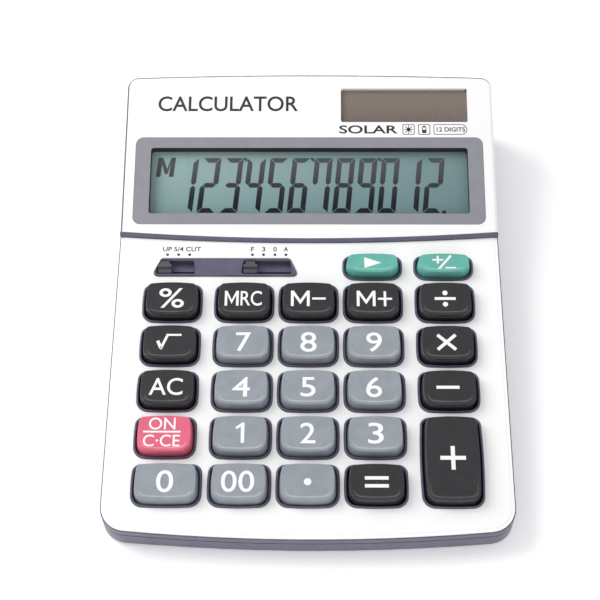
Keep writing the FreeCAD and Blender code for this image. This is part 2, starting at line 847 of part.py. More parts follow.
def make_keypad_faceplate():
    base = plan_prism(plate_inset, 0, tall).common(keypad_slab(-plate_thickness, -plate_rim_drop))
    field = plan_prism(plate_inset + plate_rim_width, 0, tall).common(keypad_slab(-plate_thickness, 0))
    plate = base.fuse(field)
    plate = plate.cut(behind_seam(-plate_seam_gap))
    cuts = []
    for name, place in key_places:
        cuts.append(on_keypad(barrel_prism(place, -plate_hole_clearance, -2, 2)))
    soft_radius = bezel_corner_radius + plate_hole_clearance
    outline = bezel_outline(-plate_hole_clearance)
    cuts.append(on_keypad(soft_loft([(outline, soft_radius, -2), (outline, soft_radius, 2)])))
    return plate.cut(cuts[0].multiFuse(cuts[1:]))


def make_display_cover():
    outer = plan_prism(0, 0, tall).common(display_slab(-far, 0))
    rim = []
    for edge in outer.Edges:
        middle = edge.CenterOfMass
        upward = (middle.z - display_z) * math.cos(display_angle)
        height = upward - (middle.y - seam_y) * math.sin(display_angle)
        if abs(height) < near and middle.y > -body_depth / 4:
            rim.append(edge)
    outer = outer.makeFillet(cover_edge_radius, rim)
    outer = outer.common(keypad_slab(-skirt_depth, far)).common(behind_seam(ridge_width + cover_fit))
    inner = plan_prism(cover_thickness, -1, tall).common(display_slab(-far, -cover_thickness))
    cover = outer.cut(inner)
    window_x = (-window_half_width - window_fit, window_half_width + window_fit)
    window_y = (window_front_offset - window_fit, window_rear + window_fit)
    cover = cover.cut(on_display(rounded_box(window_x, window_y, (-2, 2), window_corner_radius + window_fit)))
    solar_x = (solar_left - window_fit, solar_right + window_fit)
    solar_y = (solar_front - window_fit, solar_rear + window_fit)
    return cover.cut(on_display(rounded_box(solar_x, solar_y, (-2, 2), solar_corner_radius + window_fit)))


def make_slider(left):
    # A ramped thumb piece, a stem through the slit and a carrier plate below the housing
    first = left + knob_end_clearance
    last = first + knob_width
    half = slot_depth_across / 2 - knob_side_clearance
    bottom = slot_floor + knob_floor_gap
    front = slot_centre - half
    rear = slot_centre + half
    profile = [Vec(first, front, bottom)]
    for share, above in knob_tiers:
        height = knob_height if above is None else bezel_height + above
        profile.append(Vec(first, front + half * share, height))
    profile.append(Vec(first, rear, bottom))
    thumb = Part.Face(Part.makePolygon(profile + profile[:1])).extrude(Vec(knob_width, 0, 0))
    for start in (first - 1, last - knob_corner_cut):
        corner_x = (start, start + 1 + knob_corner_cut)
        corner_y = (rear - knob_corner_length, rear + 1)
        thumb = thumb.cut(box(corner_x, corner_y, (bottom - 1, far)))
    middle = (first + last) / 2
    stem_x = (middle - stem_width, middle + stem_width)
    stem_y = (slit_centre - stem_width / 2, slit_centre + stem_width / 2)
    carrier_top = slot_floor_under - carrier_gap
    stem = box(stem_x, stem_y, (carrier_top, bottom))
    carrier_y = (slit_centre - carrier_depth / 2, slit_centre + carrier_depth / 2)
    carrier = box((first, last), carrier_y, (carrier_top - carrier_thickness, carrier_top))
    return fuse_all([thumb, stem, carrier])


def make_wiper(left):
    first = left + knob_end_clearance
    middle = first + knob_width / 2
    top = slot_floor_under - carrier_gap - carrier_thickness
    plate_x = (middle - wiper_plate_length / 2, middle + wiper_plate_length / 2)
    plate_y = (slit_centre - wiper_plate_depth / 2, slit_centre + wiper_plate_depth / 2)
    plate = box(plate_x, plate_y, (top - wiper_thickness, top))
    fingers = []
    finger_x = (middle - wiper_finger_length / 2, middle + wiper_finger_length / 2)
    for side in (-1, 1):
        y = slit_centre + side * wiper_finger_spacing / 2
        finger_y = (y - wiper_finger_width / 2, y + wiper_finger_width / 2)
        fingers.append(box(finger_x, finger_y, (board_top + wiper_board_gap, top - wiper_thickness)))
    return plate.multiFuse(fingers)


def make_dome_sheet():
    left = column_centres[0] - hole_width / 2 - sheet_side_trim
    right = -left
    rear_low = top_row_front - row_gap / 2
    rear_high = top_row_front + top_row_depth
    notch_x = column_centres[3] - hole_width / 2 - sheet_notch_gap
    front = board_front + sheet_front_inset
    points = [
        (left, front),
        (right, front),
        (right, rear_high),
        (notch_x, rear_high),
        (notch_x, rear_low),
        (left, rear_low),
    ]
    sheet = outline_prism(points, board_top, sheet_top)
    domes = []
    hollows = []
    dome_top = flange_bottom - dome_rest_gap
    rise = dome_top - sheet_top
    for name, place in key_places:
        foot = Vec(place[0], place[1], sheet_top)
        domes.append(Part.makeCone(dome_base_radius, dome_top_radius, rise, foot))
        below = Vec(place[0], place[1], board_top)
        hollow_height = dome_top - dome_skin - board_top
        hollow_top = dome_top_radius - dome_hollow_taper
        hollows.append(Part.makeCone(dome_base_radius - dome_skin, hollow_top, hollow_height, below))
    sheet = sheet.multiFuse(domes)
    return on_keypad(sheet.cut(hollows[0].multiFuse(hollows[1:])))


def make_contact_pads():
    pads = []
    for name, place in key_places:
        pads.append(rod(place[0], place[1], board_top, board_top + pad_thickness, pad_radius))
    return on_keypad(Part.makeCompound(pads))


def make_main_board():
    x_range = (-board_half_width, board_half_width)
    board = rounded_box(x_range, (board_front, board_rear), (board_bottom, board_top), board_corner_radius)
    hole_radius = board_screw_radius + screw_hole_clearance
    for x, v in board_boss_places():
        board = board.cut(rod(x, v, board_bottom - 1, board_top + 1, hole_radius))
    return on_keypad(board)


def make_blob():
    # A low cap of a sphere, cut flat where it meets the board
    sphere_radius = (blob_radius ** 2 + blob_height ** 2) / (2 * blob_height)
    v = board_front + blob_share * board_depth
    base = board_bottom - component_gap
    ball = Part.makeSphere(sphere_radius, Vec(blob_x, v, base - blob_height + sphere_radius))
    reach = blob_radius + blob_margin
    block = box((blob_x - reach, blob_x + reach), (v - reach, v + reach), (base - blob_height - 1, base))
    return on_keypad(ball.common(block))


def make_capacitors():
    v = board_rear - capacitor_from_rear
    base = board_bottom - component_gap
    cans = []
    for x in capacitor_places:
        can = rod(x, v, base - capacitor_height, base, capacitor_radius)
        rim = [edge for edge in can.Edges if edge.BoundBox.ZMax < base - capacitor_height + near]
        cans.append(can.makeFillet(capacitor_round, rim))
    return on_keypad(Part.makeCompound(cans))


def make_resistors():
    v = board_front + resistor_share * board_depth
    centre = board_bottom - component_gap - resistor_radius
    bodies = []
    for index in range(resistor_count):
        y = v + (index - (resistor_count - 1) / 2) * resistor_pitch
        start = Vec(resistor_x - resistor_length / 2, y, centre)
        bodies.append(Part.makeCylinder(resistor_radius, resistor_length, start, Vec(1, 0, 0)))
    return on_keypad(Part.makeCompound(bodies))


def glass_plate(front, top, height):
    solid = box((-glass_half_width, glass_half_width), (front, glass_rear), (top - height, top))
    return on_display(solid)


def make_lcd_frame():
    outer_x = body_width / 2 - shell_wall - frame_side_gap
    outer_y = (glass_front - frame_front_lip, glass_rear + frame_overlap)
    outer = box((-outer_x, outer_x), outer_y, (frame_bottom, frame_top))
    hole_x = (-glass_half_width + frame_rim, glass_half_width - frame_rim)
    hole_y = (glass_front + glass_ledge + frame_rim, glass_rear - frame_rim)
    frame = outer.cut(box(hole_x, hole_y, (frame_bottom - 1, frame_top + 1)))
    hole_radius = frame_screw_radius + screw_hole_clearance
    for x, v in frame_boss_places():
        frame = frame.cut(rod(x, v, frame_bottom - 1, frame_top + 1, hole_radius))
    return on_display(frame)


def ribbon_piece(start, end, thickness):
    length = math.hypot(end[0] - start[0], end[1] - start[1])
    angle = math.degrees(math.atan2(end[1] - start[1], end[0] - start[0]))
    strip = box((-flex_width / 2, flex_width / 2), (0, length), (-thickness / 2, thickness / 2))
    strip.rotate(Vec(0, 0, 0), Vec(1, 0, 0), angle)
    strip.translate(Vec(flex_offset, start[0], start[1]))
    return strip


def section_point(shape_place, v, n):
    point = shape_place(Part.Vertex(0, v, n))
    return point.Y, point.Z


def make_flex():
    lift = flex_thickness / 2 + flex_gap
    route = [
        section_point(on_display, glass_front + glass_ledge - flex_glass_inset, rear_glass_top + lift),
        section_point(on_display, glass_front - flex_glass_overhang, rear_glass_top + lift),
        section_point(on_keypad, board_rear + flex_bend_lead, board_top + lift),
        section_point(on_keypad, board_rear - flex_board_length, board_top + lift),
    ]
    pieces = []
    for index in range(3):
        pieces.append(ribbon_piece(route[index], route[index + 1], flex_thickness))
    for index in (1, 2):
        y, z = route[index]
        start = Vec(flex_offset - flex_width / 2, y, z)
        pieces.append(Part.makeCylinder(flex_thickness / 2, flex_width, start, Vec(1, 0, 0)))
    return fuse_all(pieces)


def wire_run(points):
    # Straight runs with a ball at each bend
    pieces = []
    for start, end in zip(points, points[1:]):
        direction = end - start
        pieces.append(Part.makeCylinder(lead_radius, direction.Length, start, direction))
    for bend in points[1:-1]:
        pieces.append(Part.makeSphere(lead_radius, bend))
    return fuse_all(pieces)


def board_underside_z(y):
    v = (y - front_y + board_bottom * math.sin(keypad_angle)) / math.cos(keypad_angle)
    return front_height + v * math.sin(keypad_angle) + board_bottom * math.cos(keypad_angle)


def lead_to_board(x, start_y, start_z, end_y, run_z):
    end_z = board_underside_z(end_y) - component_gap
    return wire_run([
        Vec(x, start_y, start_z),
        Vec(x, start_y, run_z),
        Vec(x, end_y, run_z),
        Vec(x, end_y, end_z),
    ])


def make_solar_leads():
    leads = []
    top_n = -cover_thickness - solar_thickness - component_gap - lead_radius
    start_y, start_z = section_point(on_display, (solar_front + solar_rear) / 2, top_n)
    end_y = seam_y - lead_end_inset
    run_z = board_underside_z(end_y) - lead_drop
    for x in solar_lead_x():
        leads.append(lead_to_board(x, start_y, start_z, end_y, run_z))
    return Part.makeCompound(leads)


def make_cell_leads():
    leads = []
    run_z = cell_lead_z()
    start_y = bay_centre_y() - bay_depth / 2 + contact_thickness
    end_y = seam_y - lead_end_inset
    for x in cell_lead_x():
        end_z = board_underside_z(end_y) - component_gap
        leads.append(wire_run([Vec(x, start_y, run_z), Vec(x, end_y, run_z), Vec(x, end_y, end_z)]))
    return Part.makeCompound(leads)


def make_button_cell():
    y = bay_centre_y()
    can = rod(bay_x, y, cell_bottom, cell_bottom + cell_height - cell_step, cell_radius)
    cap_radius = cell_radius - cell_cap_inset
    cap = rod(bay_x, y, cell_bottom + cell_height - cell_step, cell_bottom + cell_height, cap_radius)
    rim = [edge for edge in can.Edges if edge.BoundBox.ZLength < near]
    return can.makeFillet(cell_edge_round, rim).fuse(cap)


def make_contact_negative():
    # A leaf on the bay's ceiling that bows down to the cell's cap
    y = bay_centre_y()
    half = contact_width / 2
    top = bay_ceiling - component_gap
    leaf = box((bay_x - half, bay_x + half), (y - leaf_front, y + leaf_rear), (top - contact_thickness, top))
    pin_y = (y - tongue_width / 2, y + tongue_width / 2)
    tip_bottom = cell_bottom + cell_height + contact_gap
    tip = box((bay_x - half / 2, bay_x + half / 2), pin_y, (tip_bottom, top - contact_thickness / 2))
    return leaf.fuse(tip)


def make_contact_positive():
    # An upright leaf beside the cell with a foot under the ceiling
    y = bay_centre_y()
    first = bay_x - cell_radius - contact_standoff
    half = contact_width / 2
    upright_z = (cell_bottom, bay_ceiling - contact_gap)
    upright = box((first, first + contact_thickness), (y - half, y + half), upright_z)
    tongue_y = (y - tongue_width / 2, y + tongue_width / 2)
    tongue_z = (cell_bottom + tongue_lift, cell_bottom + tongue_lift + tongue_height)
    tongue = box((first, bay_x - cell_radius - contact_gap), tongue_y, tongue_z)
    return upright.fuse(tongue)


def make_battery_cover():
    gap = cover_plate_gap
    plate = bay_box(-gap, foot_stand, floor_top)
    tab_x = (bay_x, bay_x + bay_width / 2 + cover_tab_length - gap)
    tab_y = (bay_centre_y() - cover_tab_width / 2 + gap, bay_centre_y() + cover_tab_width / 2 - gap)
    tab = box(tab_x, tab_y, (foot_stand, tab_top - cover_tab_fit))
    cover = plate.fuse(tab)
    grip_x = bay_x - bay_width / 2 + grip_inset
    groove_y = (bay_centre_y() - grip_length / 2, bay_centre_y() + grip_length / 2)
    for index in range(grip_grooves):
        x = grip_x + index * grip_pitch
        cover = cover.cut(box((x, x + grip_width), groove_y, (foot_stand - 1, foot_stand + grip_depth)))
    hole_radius = board_screw_radius + screw_hole_clearance
    cover = cover.cut(rod(cover_screw_x, bay_centre_y(), -1, floor_top + 1, hole_radius))
    recess = board_head_radius + head_recess_clearance
    return cover.cut(rod(cover_screw_x, bay_centre_y(), -1, foot_stand + cover_head_height, recess))


def make_foot(x, y):
    disc = rod(x, y, 0, foot_stand + foot_recess - component_gap, foot_radius)
    rim = [edge for edge in disc.Edges if edge.BoundBox.ZMax < near]
    return disc.makeChamfer(foot_edge, rim)


def window_plate(x_range, y_range, radius, thickness):
    return on_display(rounded_box(x_range, y_range, (-thickness, 0), radius))


def make_window_mask():
    z_range = (-cover_thickness, -window_thickness)
    outer = rounded_box((-window_half_width, window_half_width), (window_front_offset, window_rear),
                        z_range, window_corner_radius)
    cut_z = (-cover_thickness - 1, 0)
    inner = rounded_box((-opening_half_width, opening_half_width), (opening_front, opening_rear),
                        cut_z, opening_corner_radius)
    return on_display(outer.cut(inner))


for key_name, key_spot in key_places:
    save(key_name, on_keypad(make_key(key_spot)))

save("upper_housing", make_upper_housing())
save("lower_housing", make_lower_housing())
save("keypad_faceplate", make_keypad_faceplate())
save("display_cover", make_display_cover())
window_x = (-window_half_width, window_half_width)
window_y = (window_front_offset, window_rear)
save("display_window", window_plate(window_x, window_y, window_corner_radius, window_thickness))
save("window_mask", make_window_mask())
solar_x = (solar_left, solar_right)
solar_y = (solar_front, solar_rear)
save("solar_window", window_plate(solar_x, solar_y, solar_corner_radius, cover_thickness))
wide_x = (solar_left - solar_overlap, solar_right + solar_overlap)
wide_y = (solar_front - solar_overlap, solar_rear + solar_overlap)
cell_top = -cover_thickness - solar_gap / 2
save("solar_cell", on_display(box(wide_x, wide_y, (cell_top - solar_thickness, cell_top))))
save("lcd_front_glass", glass_plate(glass_front + glass_ledge, glass_top, glass_thickness - glass_film))
save("lcd_rear_glass", glass_plate(glass_front, rear_glass_top, glass_thickness))
save("lcd_frame", make_lcd_frame())
save("lcd_flex", make_flex())
save("solar_leads", make_solar_leads())
save("cell_leads", make_cell_leads())

save("main_board", make_main_board())
save("controller_blob", make_blob())
save("board_capacitors", make_capacitors())
save("board_resistors", make_resistors())
save("dome_sheet", make_dome_sheet())
save("contact_pads", make_contact_pads())

save("rounding_slider", on_keypad(make_slider(rounding_slot_left)))
save("rounding_wiper", on_keypad(make_wiper(rounding_slot_left)))
save("decimal_slider", on_keypad(make_slider(decimal_slot_left)))
save("decimal_wiper", on_keypad(make_wiper(decimal_slot_left)))

save("button_cell", make_button_cell())
save("cell_contact_negative", make_contact_negative())
save("cell_contact_positive", make_contact_positive())
save("battery_cover", make_battery_cover())
cover_seat = foot_stand + cover_head_height
save("battery_cover_screw", screw(cover_screw_x, bay_centre_y(), cover_seat, cover_screw_length,
                                  board_screw_radius, board_head_radius, cover_head_height))

case_screws = []
for screw_x, screw_y, seat_z in [spot[:3] for spot in case_boss_places()]:
    screw_length = front_screw_length if screw_y < seam_y else rear_screw_length
    case_screws.append(screw(screw_x, screw_y, seat_z, screw_length, case_screw_radius,
                             case_head_radius, case_head_height))
save("case_screws", Part.makeCompound(case_screws))
board_screws = []
for screw_x, screw_v in board_boss_places():
    board_screws.append(screw(screw_x, screw_v, board_bottom, board_screw_length, board_screw_radius,
                              board_head_radius, board_head_height))
save("board_screws", on_keypad(Part.makeCompound(board_screws)))
frame_screws = []
for screw_x, screw_v in frame_boss_places():
    frame_screws.append(screw(screw_x, screw_v, frame_bottom, frame_screw_length, frame_screw_radius,
                              frame_head_radius, frame_head_height))
save("lcd_frame_screws", on_display(Part.makeCompound(frame_screws)))
save("rubber_feet", Part.makeCompound([make_foot(x, y) for x, y in foot_places()]))

print("overall depth", round(body_depth, 2), "key hole", round(hole_width, 2), round(hole_depth, 2))
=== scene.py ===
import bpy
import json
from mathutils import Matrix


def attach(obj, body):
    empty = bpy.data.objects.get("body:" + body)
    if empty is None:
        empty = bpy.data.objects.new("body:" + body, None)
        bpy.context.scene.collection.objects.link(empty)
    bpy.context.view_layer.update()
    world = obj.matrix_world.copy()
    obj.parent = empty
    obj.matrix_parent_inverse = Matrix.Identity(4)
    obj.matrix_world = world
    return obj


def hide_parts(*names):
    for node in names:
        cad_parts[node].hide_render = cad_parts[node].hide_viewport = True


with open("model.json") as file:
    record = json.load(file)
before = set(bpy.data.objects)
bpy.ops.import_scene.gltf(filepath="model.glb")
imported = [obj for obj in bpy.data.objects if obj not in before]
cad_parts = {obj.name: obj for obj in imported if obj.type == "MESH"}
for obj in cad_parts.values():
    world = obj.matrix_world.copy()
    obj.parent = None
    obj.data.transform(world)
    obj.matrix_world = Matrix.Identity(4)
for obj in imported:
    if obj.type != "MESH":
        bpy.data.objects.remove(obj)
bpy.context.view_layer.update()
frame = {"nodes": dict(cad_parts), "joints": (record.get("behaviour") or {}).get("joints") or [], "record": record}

import json
import math
import bmesh
import bpy
from mathutils import Matrix, Vector

mm = 0.001
scene = bpy.context.scene
scene.view_settings.view_transform = "Standard"


# a socket that can be added, multiplied and compared like a number
class Wire:
    def __init__(self, paint, socket):
        self.paint = paint
        self.socket = socket

    def __add__(self, other):
        return self.paint.math("ADD", self, other)

    def __sub__(self, other):
        return self.paint.math("SUBTRACT", self, other)

    def __rsub__(self, other):
        return self.paint.math("SUBTRACT", other, self)

    def __mul__(self, other):
        return self.paint.math("MULTIPLY", self, other)

    def __gt__(self, other):
        return self.paint.math("GREATER_THAN", self, other)

    def __lt__(self, other):
        return self.paint.math("LESS_THAN", self, other)

    __radd__ = __add__
    __rmul__ = __mul__


class Paint:
    def __init__(self, name):
        self.material = bpy.data.materials.new(name)
        self.material.use_nodes = True
        self.tree = self.material.node_tree
        self.tree.nodes.clear()

    def node(self, kind, settings=None, inputs=None, output=0):
        made = self.tree.nodes.new(kind)
        for name, value in (settings or {}).items():
            setattr(made, name, value)
        for name, value in (inputs or {}).items():
            if isinstance(value, Wire):
                self.tree.links.new(value.socket, made.inputs[name])
            else:
                made.inputs[name].default_value = value
        return Wire(self, made.outputs[output])

    def place(self):
        return self.node("ShaderNodeTexCoord", output=3)

    def split(self, vector, axis):
        return self.node("ShaderNodeSeparateXYZ", None, {0: vector}, axis)

    def noise(self, scale, detail=3.0, roughness=0.55, stretch=None):
        where = self.place()
        if stretch:
            where = self.node("ShaderNodeMapping", None, {"Vector": where, "Scale": stretch})
        inputs = {"Vector": where, "Scale": scale, "Detail": detail, "Roughness": roughness}
        return self.node("ShaderNodeTexNoise", None, inputs)

    def specks(self, scale, size):
        # tiny scattered dots
        cells = self.node("ShaderNodeTexVoronoi", {"feature": "F1"}, {"Vector": self.place(), "Scale": scale})
        rare = self.noise(scale * 0.6, 1.0)
        return (cells < size) * (rare > 0.55)

    def math(self, operation, first, second):
        return self.node("ShaderNodeMath", {"operation": operation}, {0: first, 1: second})

    def steps(self, value, low, high, least=0.0, most=1.0):
        inputs = {"Value": value, "From Min": low, "From Max": high, "To Min": least, "To Max": most}
        return self.node("ShaderNodeMapRange", {"interpolation_type": "SMOOTHSTEP"}, inputs)

    def mix(self, factor, first, second):
        inputs = {0: factor, 6: colourOf(first), 7: colourOf(second)}
        return self.node("ShaderNodeMix", {"data_type": "RGBA"}, inputs, 2)

    def bump(self, height, distance, strength):
        inputs = {"Height": height, "Distance": distance, "Strength": strength}
        return self.node("ShaderNodeBump", None, inputs)

    def finish(self, inputs):
        surface = self.node("ShaderNodeBsdfPrincipled", None, inputs)
        out = self.tree.nodes.new("ShaderNodeOutputMaterial")
        self.tree.links.new(surface.socket, out.inputs[0])
        return self.material


def rgba(colour):
    return tuple(colour) if len(colour) == 4 else tuple(colour) + (1.0,)


def colourOf(value):
    return value if isinstance(value, Wire) else rgba(value)


# a sloped face, with its own x, along and up directions
class Slope:
    def __init__(self, up, origin):
        self.up = up.normalized()
        self.along = Vector((0, self.up.z, -self.up.y))
        self.origin = origin

    def matrix(self, across, along, above):
        spot = self.origin + Vector((across, 0, 0)) + self.along * along + self.up * above
        columns = (Vector((1, 0, 0)), self.along, self.up)
        turned = Matrix([[columns[c][r] for c in range(3)] for r in range(3)]).to_4x4()
        return Matrix.Translation(spot) @ turned

    def reach(self, node):
        points = [v.co - self.origin for v in frame["nodes"][node].data.vertices]
        spots = [(p.x, p.dot(self.along), p.dot(self.up)) for p in points]
        low = Vector([min(s[i] for s in spots) for i in range(3)])
        high = Vector([max(s[i] for s in spots) for i in range(3)])
        return low, high


def slopeOf(node, up):
    face = Slope(up, Vector((0, 0, 0)))
    low, high = face.reach(node)
    face.origin = face.along * low.y + face.up * high.z
    return face


def largestFaceUp(node):
    faces = frame["nodes"][node].data.polygons
    best = max((f for f in faces if f.normal.z > 0.5), key=lambda f: f.area)
    return best.normal.copy()


flatWithin = 0.05 * mm  # how far a point may lie off a face and still count as on it


def flatStart(face, node):
    # where a node's flat top begins along its slope
    points = [v.co - face.origin for v in frame["nodes"][node].data.vertices]
    return min(p.dot(face.along) for p in points if abs(p.dot(face.up)) < flatWithin)


pressAxis = Vector([j for j in frame["joints"] if j["name"] == "key_5_press"][0]["axis"])
keypad = slopeOf("keypad_faceplate", -pressAxis)
display = slopeOf("display_window", largestFaceUp("display_window"))
display.origin += display.along * flatStart(display, "display_cover")
windowLow, windowHigh = display.reach("display_window")
print("stage: frame read, window front at", round(windowLow.y / mm, 2))


def meshObject(name, vertices, faces, smooth=True):
    mesh = bpy.data.meshes.new(name)
    mesh.from_pydata([tuple(v) for v in vertices], [], faces)
    mesh.update()
    if smooth:
        mesh.polygons.foreach_set("use_smooth", [True] * len(mesh.polygons))
    made = bpy.data.objects.new(name, mesh)
    scene.collection.objects.link(made)
    return made


def settle(piece, body, material, transform):
    # puts a made piece in its place, gives it its finish and lets it ride on its body
    piece.data.transform(transform)
    piece.data.materials.clear()
    piece.data.materials.append(material)
    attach(piece, body)
    return piece


mouldedLook = {"mottleScale": 260.0, "mottle": 0.08, "grainScale": 5200.0, "grainDepth": 0.02 * mm,
               "dust": 0.35, "specular": 0.5, "ridgeHighlightShare": 0.75, "ridgePolish": 0.12}


def moulded(name, special):
    # satin moulded plastic: spark-erosion grain, faint mottling, gloss that varies in streaks and is higher on a
    # key's raised front line, dust, and there a painted highlight
    look = {**mouldedLook, **special}
    paint = Paint(name)
    mottle = paint.noise(look["mottleScale"], 4.0)
    grain = paint.noise(look["grainScale"], 2.0)
    marks = paint.noise(900.0, 5.0, 0.65, (1.0, 0.25, 1.0))
    dark = [channel * (1 - look["mottle"]) for channel in look["base"]]
    light = [min(1.0, channel * (1 + look["mottle"])) for channel in look["base"]]
    colour = paint.mix(paint.steps(mottle, 0.35, 0.65), dark, light)
    dust = paint.specks(330.0, 0.035)
    colour = paint.mix(dust * look["dust"], colour, dustColour)
    roughness = look["roughness"]
    rough = paint.steps(marks, 0.3, 0.75, roughness - 0.02, roughness + 0.03)
    if "ridgeHighlight" in look:
        # painted highlight: the raised line at the front of a key is lightened in colour, with a little less
        # roughness
        ridge = paint.node("ShaderNodeAttribute", {"attribute_name": "ridge"}, None, 2)
        ridgeHighlightMask = ridge * paint.steps(mottle, 0.2, 0.6, 0.6, 1.0)
        colour = paint.mix(ridgeHighlightMask * look["ridgeHighlightShare"], colour, look["ridgeHighlight"])
        rough = rough - ridgeHighlightMask * look["ridgePolish"]
    normal = paint.bump(grain, look["grainDepth"], 0.3)
    return paint.finish({"Base Color": colour, "Roughness": rough, "Normal": normal,
                         "Specular IOR Level": look["specular"]})


def silvered(name, look):
    # pale lacquer with tiny flakes over faint lengthwise lines, and painted shade on the rolled edges where a look
    # gives an edge colour
    paint = Paint(name)
    flakes = paint.noise(7000.0, 2.0, 0.6)
    drawn = paint.noise(900.0, 3.0, 0.6, (1.0, 0.03, 1.0))
    cloud = paint.noise(30.0, 3.0)
    colour = paint.mix(paint.steps(cloud, 0.3, 0.7), look["low"], look["high"])
    if "edge" in look:
        # painted shade: the colour turns dark grey where the rear and left edges roll over, and is bright again on
        # the walls
        facing = paint.node("ShaderNodeNewGeometry", output=1)
        rear, left = paint.split(facing, 1), 0.0 - paint.split(facing, 0)
        rearRoll, leftRoll = paint.steps(rear, *look["rearRoll"]), paint.steps(left, *look["leftRoll"])
        paintedEdgeShade = paint.math("MAXIMUM", rearRoll, leftRoll)
        wall = paint.steps(paint.math("MAXIMUM", rear, left), *look["wallStart"])
        paintedEdgeShade = paintedEdgeShade * (1.0 - wall)
        colour = paint.mix(paintedEdgeShade * look["edgeShare"], colour, look["edge"])
    dust = paint.specks(150.0, 0.02)
    colour = paint.mix(dust * 0.3, colour, silverDust)
    rough = paint.steps(drawn + flakes * 0.3, 0.45, 0.85, look["roughness"] - 0.04, look["roughness"] + 0.06)
    normal = paint.bump(flakes, 0.000012, 0.2)
    return paint.finish({"Base Color": colour, "Roughness": rough, "Normal": normal,
                         "Metallic": look["metallic"]})


def metal(name, base, roughness):
    # worked sheet metal: fine lines one way and a little tarnish
    paint = Paint(name)
    drawn = paint.noise(700.0, 4.0, 0.7, (0.05, 1.0, 1.0))
    tarnish = paint.noise(240.0, 5.0)
    colour = paint.mix(paint.steps(tarnish, 0.45, 0.75), base, [channel * tarnishShare for channel in base])
    rough = paint.steps(drawn, 0.3, 0.7, roughness, roughness + 0.15)
    return paint.finish({"Base Color": colour, "Roughness": rough, "Metallic": 1.0,
                         "Normal": paint.bump(drawn, 0.00001, 0.3)})


def clearPane(name, look):
    # a thin clear pane: mostly see-through, a little mirror, with wiped smears in the gloss
    paint = Paint(name)
    smear = paint.noise(60.0, 5.0, 0.7, (1.0, 0.3, 1.0))
    dust = paint.specks(260.0, 0.03)
    alpha = paint.steps(smear, 0.35, 0.75, look["low"], look["high"]) + dust * look["dust"]
    rough = paint.steps(smear, 0.3, 0.7, 0.02, 0.09)
    return paint.finish({"Base Color": rgba(look["base"]), "Metallic": 1.0, "Roughness": rough,
                         "Alpha": alpha})


def crystalPanel():
    # the reflective cell: green-grey, with painted light making it lighter at the rear left, and faint upright
    # electrode lines
    paint = Paint("crystalCell")
    where = paint.place()
    across = paint.steps(paint.split(where, 0), *panelLook["across"])
    along = paint.steps(paint.split(where, 1), *panelLook["along"])
    lower = paint.mix(across, panelLook["lowerLeft"], panelLook["lowerRight"])
    upper = paint.mix(across, panelLook["upperLeft"], panelLook["upperRight"])
    colour = paint.mix(along, lower, upper)
    electrodes = paint.noise(1.0, 2.0, 0.5, (520.0, 30.0, 1.0))
    colour = paint.mix(paint.steps(electrodes, 0.5, 0.75) * 0.25, colour, panelLook["electrode"])
    colour = paint.mix(paint.specks(300.0, 0.03) * 0.5, colour, panelLook["dust"])
    cloud = paint.noise(120.0, 3.0)
    rough = paint.steps(cloud, 0.3, 0.7, 0.28, 0.4)
    return paint.finish({"Base Color": colour, "Roughness": rough, "Specular IOR Level": 0.25})


def crystalInk():
    # driven segments: near black at the front, with a painted reflection greying them towards the rear
    paint = Paint("crystalInk")
    y = paint.split(paint.place(), 1)
    paintedReflection = paint.steps(y, segmentLook["reflectionStart"], segmentLook["reflectionEnd"])
    grain = paint.noise(900.0, 2.0)
    colour = paint.mix(paintedReflection, segmentLook["front"], segmentLook["rear"])
    colour = paint.mix(paint.steps(grain, 0.4, 0.8) * 0.08, colour, segmentLook["grain"])
    rough = paint.steps(grain, 0.3, 0.7, 0.4, 0.55)
    return paint.finish({"Base Color": colour, "Roughness": rough, "Specular IOR Level": 0.08})


def solarFilm():
    # brown thin-film cell in four bands between fine collector lines, with painted light: darker at the front,
    # lighter towards the rear
    paint = Paint("solarFilm")
    where = paint.place()
    x, y = paint.split(where, 0), paint.split(where, 1)
    cloud = paint.noise(70.0, 4.0)
    tone = paint.mix(paint.steps(y, *solarLook["along"]), solarLook["front"], solarLook["rear"])
    tone = paint.mix(paint.steps(cloud, 0.35, 0.75) * 0.3, tone, solarLook["cloud"])
    band = paint.math("PINGPONG", x - solarLook["bandStart"], solarLook["bandWidth"] / 2)
    line = band < solarLook["lineWidth"]
    colour = paint.mix(line * 0.25, tone, solarLook["line"])
    rough = paint.steps(cloud, 0.3, 0.7, 0.2, 0.3)
    return paint.finish({"Base Color": colour, "Roughness": rough, "Specular IOR Level": 0.4})


def laminate():
    # solder mask over a board: woven glass below, copper tracks raised under the green
    paint = Paint("boardMask")
    weave = paint.noise(2600.0, 1.0)
    cells = paint.node("ShaderNodeTexVoronoi", {"distance": "MANHATTAN", "feature": "F2"},
                       {"Vector": paint.place(), "Scale": 420.0})
    track = paint.steps(cells, 0.55, 0.62)
    colour = paint.mix(track, boardLook["mask"], boardLook["track"])
    colour = paint.mix(paint.steps(weave, 0.5, 0.8) * 0.3, colour, boardLook["weave"])
    normal = paint.bump(track, 0.00004, 0.6)
    return paint.finish({"Base Color": colour, "Roughness": paint.steps(weave, 0.3, 0.7, 0.3, 0.45),
                         "Normal": normal})


def striped(name, look):
    # conductor stripes printed on film, or colour bands round a body
    paint = Paint(name)
    x = paint.split(paint.place(), 0)
    stripe = paint.math("PINGPONG", x, look["pitch"] / 2) < look["pitch"] * look["share"] / 2
    cloud = paint.noise(400.0, 3.0)
    ground = paint.mix(paint.steps(cloud, 0.3, 0.7), look["ground"], [c * 0.88 for c in look["ground"]])
    colour = paint.mix(stripe, ground, look["stripe"])
    rough = paint.steps(cloud, 0.3, 0.7, look["roughness"], look["roughness"] + 0.12)
    return paint.finish({"Base Color": colour, "Roughness": rough})


